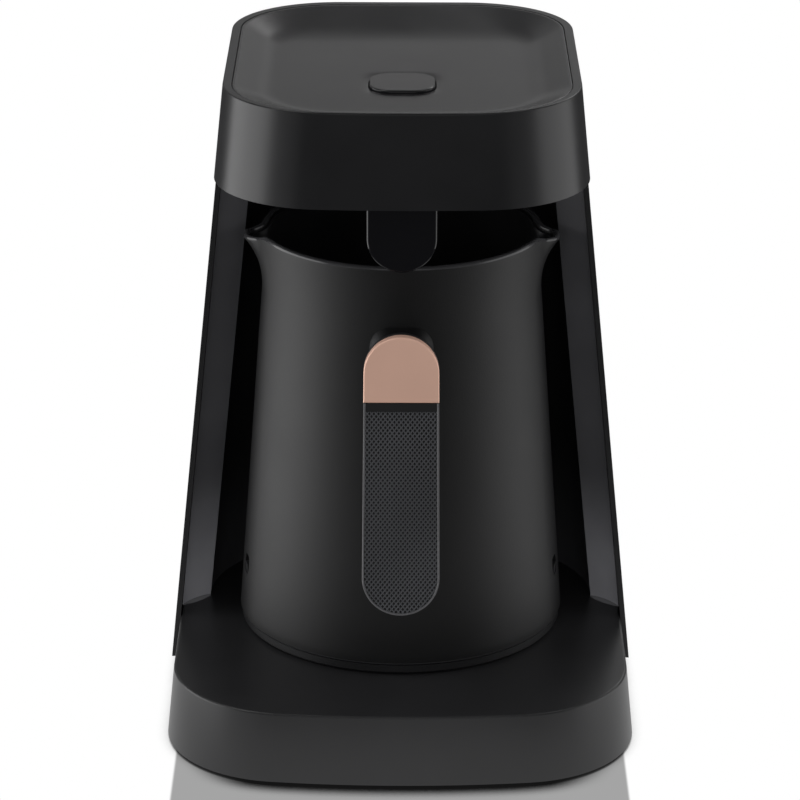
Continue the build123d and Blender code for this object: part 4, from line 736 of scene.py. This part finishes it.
edge_rings = []
for step in range(1, EDGE_RINGS):
    swing = pi * step / EDGE_RINGS
    lift = VESSEL_SHEET / 2 * (sin(swing) - 1)
    aside = VESSEL_SHEET / 2 * (1 - cos(swing))
    edge_rings.append(vessel_ring(lambda turn: rim_level(turn) - VESSEL_DROP + lift, aside))
bowl_rings = vessel_side(0.0) + edge_rings + vessel_side(VESSEL_SHEET)[::-1]
bowl = smooth_piece("vessel_bowl", *loft_rings(bowl_rings, True, True), [vessel_dark])
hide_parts("pot_vessel")
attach(bowl, "pot")

# ---------------------------------------------------------------- handle
# An upright pill of satin black plastic is screwed to the arm. Its face holds a dark
# rubber grip with a fine raised mesh and, above it, a rose-copper cap that hides the
# screws. The grip's ridges and edge bead are lighter, with a painted highlight, and its
# pits darker, with painted shade: lit and shaded copies of one rubber.

handle_black = finish_of("handle_satin", (0.010, 0.010, 0.011), 0.40, 3000.0, 0.12)
# Lit and shaded copies of the grip's rubber: painted shade in the pits, painted highlight on the ridges and
# the edge bead.
grip_black = finish_of("grip_pits", (0.006, 0.006, 0.007), 0.55, 2600.0, 0.25)
ridge_highlight = finish_of("grip_ridges_highlight", (0.072, 0.074, 0.080), 0.40, 2600.0, 0.15)
copper_rose = finish_of("rose_copper", (0.73, 0.456, 0.352), 0.42, 5200.0, 0.04, metallic=0.35, spread=0.03)
grip_edge_highlight = finish_of("grip_edge_highlight", (0.070, 0.070, 0.074), 0.26, 3000.0, 0.05, wear=0.06)
dress(handle_black, "handle_body")
dress(copper_rose, "handle_cap")

HANDLE_LENGTH = 0.09554
TOP_RADIUS = 0.01245
BOTTOM_RADIUS = 0.0130
CAP_EDGE = 0.02557
CAP_GAP = 0.0001
GRIP_TOP = CAP_EDGE - CAP_GAP
GRIP_INSET = 0.00045
GRIP_BACK = 0.0021
PIT_DEPTH = 0.00042
BAND_FOOT = GRIP_TOP - 0.0029
BAND_SINK = 0.0003
BAND_BREAK = 0.0001
JUST_BELOW = 0.00001
MESH_ACROSS = 0.00150
MESH_ALONG = 0.00190
MESH_MARGIN = 0.0002
EXTRA_RIDGES = 20
SHORTEST_RIDGE = 0.0008
RIDGE_STEP = 0.0001
RIDGE_REACH = 140
RIDGE_FOOT = 0.00026
RIDGE_TOP = 0.00006
RIDGE_SINK = 0.0001
RIDGE_BREAK = 0.00008
EDGE_BEAD = 0.00040
BEAD_BEHIND = 0.00018
BEAD_SIDES = 10
PILL_STEPS = 40
# Slots for the shaded pits, the highlighted edge bead and the highlighted ridges.
PIT_FACES, EDGE_HIGHLIGHT_FACES, RIDGE_HIGHLIGHT_FACES = range(3)


def pill_path(inset):
    """Half width of the handle's outline with heights, from its foot up to the cap."""
    top = HANDLE_LENGTH / 2 - TOP_RADIUS
    bottom = -HANDLE_LENGTH / 2 + BOTTOM_RADIUS
    tilt = asin((BOTTOM_RADIUS - TOP_RADIUS) / (top - bottom))
    radius = BOTTOM_RADIUS - inset
    path = []
    for step in range(PILL_STEPS + 1):
        swing = -pi / 2 + (pi / 2 + tilt) * step / PILL_STEPS
        path.append((radius * cos(swing), bottom + radius * sin(swing)))
    widest, height = path[-1]
    narrow = (BOTTOM_RADIUS - TOP_RADIUS) / (top - bottom) * (GRIP_TOP - height)
    path.append((widest - narrow, GRIP_TOP))
    return path


def pill_loop(inset):
    """Closed outline of the grip, cut off square just below the cap."""
    right = pill_path(inset)
    return right + [(-across, up) for across, up in reversed(right[1:])]


def half_width_at(up, inset):
    """Half width of the grip at a height on the handle."""
    path = pill_path(inset)
    for (a, low), (b, high) in zip(path, path[1:]):
        if low <= up <= high:
            return a + (b - a) * (up - low) / (high - low)
    return 0.0


grip_points = []
grip_faces = []
grip_slots = []


def add_grip(rings, finish):
    """Adds one closed shape of the grip, with its rings given in the handle's frame."""
    points, faces = loft_rings(rings, True, True)
    join_to(grip_points, grip_faces, ([tuple(on_handle(*point)) for point in points], faces))
    grip_slots.extend([finish] * len(faces))


add_grip([[(across, up, behind) for across, up in pill_loop(GRIP_INSET)]
          for behind in (GRIP_BACK, PIT_DEPTH)], PIT_FACES)

# A plain band closes the mesh below the cap.
band_rings = []
for inset, behind in ((0.0, PIT_DEPTH + BAND_SINK), (0.0, BAND_BREAK), (BAND_BREAK, 0.0)):
    low_half = half_width_at(BAND_FOOT, GRIP_INSET) - inset
    top_half = half_width_at(GRIP_TOP - JUST_BELOW, GRIP_INSET) - inset
    band_rings.append([(-low_half, BAND_FOOT + inset, behind), (low_half, BAND_FOOT + inset, behind),
                       (top_half, GRIP_TOP - inset, behind), (-top_half, GRIP_TOP - inset, behind)])
add_grip(band_rings, PIT_FACES)


def add_ridge(start, end):
    """One fine ridge of the mesh: a low roofed bar between two points of the grip, in the lighter finish
    with a painted highlight.
    """
    along = Vector((end[0] - start[0], end[1] - start[1]))
    if along.length < SHORTEST_RIDGE:
        return
    aside = Vector((-along.y, along.x)).normalized()
    half = [(RIDGE_FOOT, PIT_DEPTH + RIDGE_SINK), (RIDGE_TOP * 2, RIDGE_BREAK), (RIDGE_TOP, 0.0)]
    profile = half + [(-reach, behind) for reach, behind in reversed(half)]
    add_grip([[(across + aside.x * reach, up + aside.y * reach, behind) for reach, behind in profile]
              for across, up in (start, end)], RIDGE_HIGHLIGHT_FACES)


def in_mesh(across, up):
    """Whether a point lies in the meshed part of the grip."""
    if not -HANDLE_LENGTH / 2 < up < BAND_FOOT:
        return False
    return abs(across) < half_width_at(up, GRIP_INSET) - MESH_MARGIN


slope = MESH_ALONG / MESH_ACROSS
ridges = int(HANDLE_LENGTH / MESH_ALONG) + EXTRA_RIDGES
for lean in (1, -1):
    for index in range(-ridges, ridges):
        start = None
        last = None
        for step in range(-RIDGE_REACH, RIDGE_REACH + 1):
            across = step * RIDGE_STEP
            up = index * MESH_ALONG + lean * slope * across
            if in_mesh(across, up):
                last = (across, up)
                start = start or last
        if start:
            add_ridge(start, last)

# A rounded bead runs round the grip's edge, from one end of the cap's foot to the other. Its lighter colour
# is a painted highlight.
bead_path = pill_loop(EDGE_BEAD)
open_ends = bead_path[PILL_STEPS + 2:] + bead_path[:PILL_STEPS + 2]
bead_rings = []
for index, (across, up) in enumerate(open_ends):
    after = open_ends[min(index + 1, len(open_ends) - 1)]
    before = open_ends[max(index - 1, 0)]
    run = Vector((after[0] - before[0], after[1] - before[1])).normalized()
    ring = []
    for step in range(BEAD_SIDES):
        swing = 2 * pi * step / BEAD_SIDES
        reach = EDGE_BEAD * cos(swing)
        ring.append((across - run.y * reach, up + run.x * reach, BEAD_BEHIND - EDGE_BEAD * sin(swing)))
    bead_rings.append(ring)
add_grip(bead_rings, EDGE_HIGHLIGHT_FACES)
grip = smooth_piece("grip_mesh", grip_points, grip_faces, [grip_black, grip_edge_highlight, ridge_highlight], angle=35)
grip.data.polygons.foreach_set("material_index", grip_slots)
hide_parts("grip_insert")
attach(grip, "pot")

# ---------------------------------------------------------------- floor
# A white table top. The camera sees it plain white, with a painted grey reflection of
# the base just ahead of it and a painted contact shadow under it, darkest at the middle
# of the front. All other rays meet it near the base only, where it glows white.

FLOOR_HALF = 4.0
floor_mesh = bpy.data.meshes.new("floor")
corners = [(x * FLOOR_HALF, y * FLOOR_HALF, 0) for x, y in ((-1, -1), (1, -1), (1, 1), (-1, 1))]
floor_mesh.from_pydata(corners, [], [(0, 1, 2, 3)])
floor = bpy.data.objects.new("floor", floor_mesh)
bpy.context.collection.objects.link(floor)

# Size and grey of the painted reflection, and reach of the painted contact shadow.
SHEEN_HALF_WIDTH = 0.0774
SHEEN_EDGE = 0.0008
SHEEN_NEAR = -0.135
SHEEN_FAR = -0.104
SHEEN_REAR = (-0.04, -0.03)
SHEEN_GREY = 0.372
CONTACT_REACH = 0.011
FRONT_OPEN = (0.55, 0.95, 0.02, 1.0)
SIDE_OPEN = (0.20, 0.75, 0.05, 1.0)
FRONT_EDGE = (-0.080, -0.060)
FRONT_MIDDLE = (0.050, 0.076)
BOUNCE_SPAN = (0.14, 0.22)
BOUNCE = 0.75


def glow(tree, strength):
    """White emission with a strength from a socket."""
    emission = tree.nodes.new("ShaderNodeEmission")
    emission.inputs["Color"].default_value = (1, 1, 1, 1)
    tree.links.new(strength, emission.inputs["Strength"])
    return emission.outputs["Emission"]


floor_white = bpy.data.materials.new("floor_white")
floor_white.use_nodes = True
tree = floor_white.node_tree
tree.nodes.remove(tree.nodes["Principled BSDF"])
across, along, _ = split_place(tree, "Object")
aside = calculate(tree, "ABSOLUTE", across)
within = ramp_node(tree, aside, SHEEN_HALF_WIDTH - SHEEN_EDGE, SHEEN_HALF_WIDTH + SHEEN_EDGE, 1.0, 0.0)
ahead = ramp_node(tree, along, SHEEN_NEAR, SHEEN_FAR, 0.0, 1.0)
under = ramp_node(tree, along, *SHEEN_REAR, 1.0, 0.0)
# Painted reflection: a grey patch of the base's width just ahead of it.
sheen = calculate(tree, "MULTIPLY", within, calculate(tree, "MULTIPLY", ahead, under))
plain = ramp_node(tree, sheen, 0.0, 1.0, 1.0, SHEEN_GREY)
# Painted contact shadow: the white is dimmed where the base hides the floor, most at the front middle.
hollow = tree.nodes.new("ShaderNodeAmbientOcclusion")
hollow.inputs["Distance"].default_value = CONTACT_REACH
front_open = ramp_node(tree, hollow.outputs["AO"], *FRONT_OPEN)
side_open = ramp_node(tree, hollow.outputs["AO"], *SIDE_OPEN)
below_front = calculate(tree, "MULTIPLY", ramp_node(tree, along, *FRONT_EDGE, 1.0, 0.0),
                        ramp_node(tree, aside, *FRONT_MIDDLE, 1.0, 0.0))
deeper = calculate(tree, "MULTIPLY", calculate(tree, "SUBTRACT", front_open, side_open), below_front)
open_share = calculate(tree, "ADD", side_open, deeper)
seen_white = glow(tree, calculate(tree, "MULTIPLY", plain, open_share))

place = tree.nodes.new("ShaderNodeTexCoord")
reach = tree.nodes.new("ShaderNodeVectorMath")
reach.operation = "LENGTH"
tree.links.new(place.outputs["Object"], reach.inputs[0])
near = ramp_node(tree, reach.outputs["Value"], *BOUNCE_SPAN, 1.0, 0.0)
bounce = glow(tree, calculate(tree, "MULTIPLY", near, BOUNCE))
clear = tree.nodes.new("ShaderNodeBsdfTransparent")
nearby = tree.nodes.new("ShaderNodeMixShader")
tree.links.new(near, nearby.inputs["Fac"])
tree.links.new(clear.outputs["BSDF"], nearby.inputs[1])
tree.links.new(bounce, nearby.inputs[2])
ray = tree.nodes.new("ShaderNodeLightPath")
by_ray = tree.nodes.new("ShaderNodeMixShader")
tree.links.new(ray.outputs["Is Camera Ray"], by_ray.inputs["Fac"])
tree.links.new(nearby.outputs["Shader"], by_ray.inputs[1])
tree.links.new(seen_white, by_ray.inputs[2])
tree.links.new(by_ray.outputs["Shader"], tree.nodes["Material Output"].inputs["Surface"])
floor_mesh.materials.append(floor_white)

# ---------------------------------------------------------------- light
# Even white light from all round for the colours. Gloss sees a dim room, a pale wall
# behind with two bright patches above it, a tall soft box at each side, a small one
# over each shoulder, one ahead and two faint fills from below.

AROUND = 0.62
ROOM = 0.06
PALE_WALL = 0.34
WALL_DEPTHS = (0.45, 0.85)
WALL_FOOT = (0.02, 0.14)
WALL_TOP = (0.27, 0.37)
WALL_MIDDLE = (0.07, 0.14)
WALL_DIMS = (0.16, 0.24)
WALL_ASIDE = 0.25
RIGHT_PATCH = 2.8
LEFT_PATCH = 0.5
PATCH_FOOT = (0.38, 0.43)
PATCH_TOP = (0.52, 0.60)
PATCH_EDGE = (0.05, 0.10)

world = bpy.data.worlds.new("studio")
bpy.context.scene.world = world
world.use_nodes = True
sky = world.node_tree
across, ahead, above = split_place(sky, "Generated")
behind = ramp_node(sky, ahead, *WALL_DEPTHS, 0.0, 1.0)
risen = calculate(sky, "MULTIPLY", ramp_node(sky, above, *WALL_FOOT, 0.0, 1.0),
                  ramp_node(sky, above, *WALL_TOP, 1.0, 0.0))
wall = calculate(sky, "MULTIPLY", behind, calculate(sky, "MULTIPLY", risen, PALE_WALL))
off_middle = ramp_node(sky, calculate(sky, "ABSOLUTE", across), *WALL_MIDDLE, 0.0, 1.0 - WALL_ASIDE)
dimmed = calculate(sky, "MULTIPLY", off_middle, ramp_node(sky, above, *WALL_DIMS, 0.0, 1.0))
wall = calculate(sky, "MULTIPLY", wall, calculate(sky, "SUBTRACT", 1.0, dimmed))
patch_rise = calculate(sky, "MULTIPLY", ramp_node(sky, above, *PATCH_FOOT, 0.0, 1.0),
                       ramp_node(sky, above, *PATCH_TOP, 1.0, 0.0))
to_left = calculate(sky, "MULTIPLY", across, -1.0)
both_patches = calculate(sky, "ADD", ramp_node(sky, across, *PATCH_EDGE, 0.0, RIGHT_PATCH),
                         ramp_node(sky, to_left, *PATCH_EDGE, 0.0, LEFT_PATCH))
patches = calculate(sky, "MULTIPLY", both_patches, calculate(sky, "MULTIPLY", patch_rise, behind))
mirrored = calculate(sky, "ADD", calculate(sky, "ADD", wall, patches), ROOM)
ray = sky.nodes.new("ShaderNodeLightPath")
gloss_share = calculate(sky, "MULTIPLY", ray.outputs["Is Glossy Ray"], mirrored)
no_gloss = calculate(sky, "SUBTRACT", 1.0, ray.outputs["Is Glossy Ray"])
unseen = calculate(sky, "ADD", gloss_share, calculate(sky, "MULTIPLY", no_gloss, AROUND))
strength = calculate(sky, "MAXIMUM", unseen, ray.outputs["Is Camera Ray"])
sky.nodes["Background"].inputs["Color"].default_value = (1, 1, 1, 1)
sky.links.new(strength, sky.nodes["Background"].inputs["Strength"])

AIM = Vector((0, 0, 0.1))


def soft_box(name, azimuth, height, distance, width, tall, watts):
    """A flat studio light that faces the object from a compass angle, 0 being the front."""
    light = bpy.data.lights.new(name, "AREA")
    light.shape = "RECTANGLE"
    light.size = width
    light.size_y = tall
    light.energy = watts
    lamp = bpy.data.objects.new(name, light)
    turn = radians(azimuth)
    lamp.location = (distance * sin(turn), -distance * cos(turn), height)
    lamp.rotation_euler = (AIM - lamp.location).to_track_quat("-Z", "Y").to_euler()
    lamp.visible_camera = False
    bpy.context.collection.objects.link(lamp)


soft_box("left_box", -92, 0.05, 1.5, 1.6, 1.7, 19.4)
soft_box("right_box", 93, 0.05, 1.5, 1.5, 1.7, 9.7)
soft_box("over_left", -80, 1.25, 0.60, 0.5, 0.5, 2.4)
soft_box("over_right", 80, 1.25, 0.60, 0.4, 0.4, 1.0)
soft_box("front_key", 0, 0.62, 1.5, 1.2, 0.5, 1.4)
soft_box("left_fill", -50, -0.25, 1.6, 0.9, 0.9, 0.9)
soft_box("right_fill", 50, -0.25, 1.6, 0.9, 0.9, 0.5)

# ---------------------------------------------------------------- camera
# A long lens on the object's middle line, looking down by about twenty degrees. The
# shift sets the middle line a pixel right of the frame's own.

FRAME = 800.0
LENS = 162.0
SENSOR = 36.0
CAMERA_PITCH = 20.5
CAMERA_PLACE = (0.0, -1.1885, 0.5509)
CAMERA_ROLL = 0.2
AXIS_PIXEL = 401.3
lens = bpy.data.cameras.new("camera")
lens.lens = LENS
lens.sensor_width = SENSOR
lens.shift_x = (FRAME / 2 - AXIS_PIXEL) / FRAME
camera = bpy.data.objects.new("camera", lens)
camera.location = CAMERA_PLACE
tilt = Matrix.Rotation(radians(90 - CAMERA_PITCH), 3, "X")
camera.rotation_euler = (tilt @ Matrix.Rotation(radians(CAMERA_ROLL), 3, "Z")).to_euler()
bpy.context.collection.objects.link(camera)
bpy.context.scene.camera = camera
bpy.context.scene.view_settings.view_transform = "Standard"
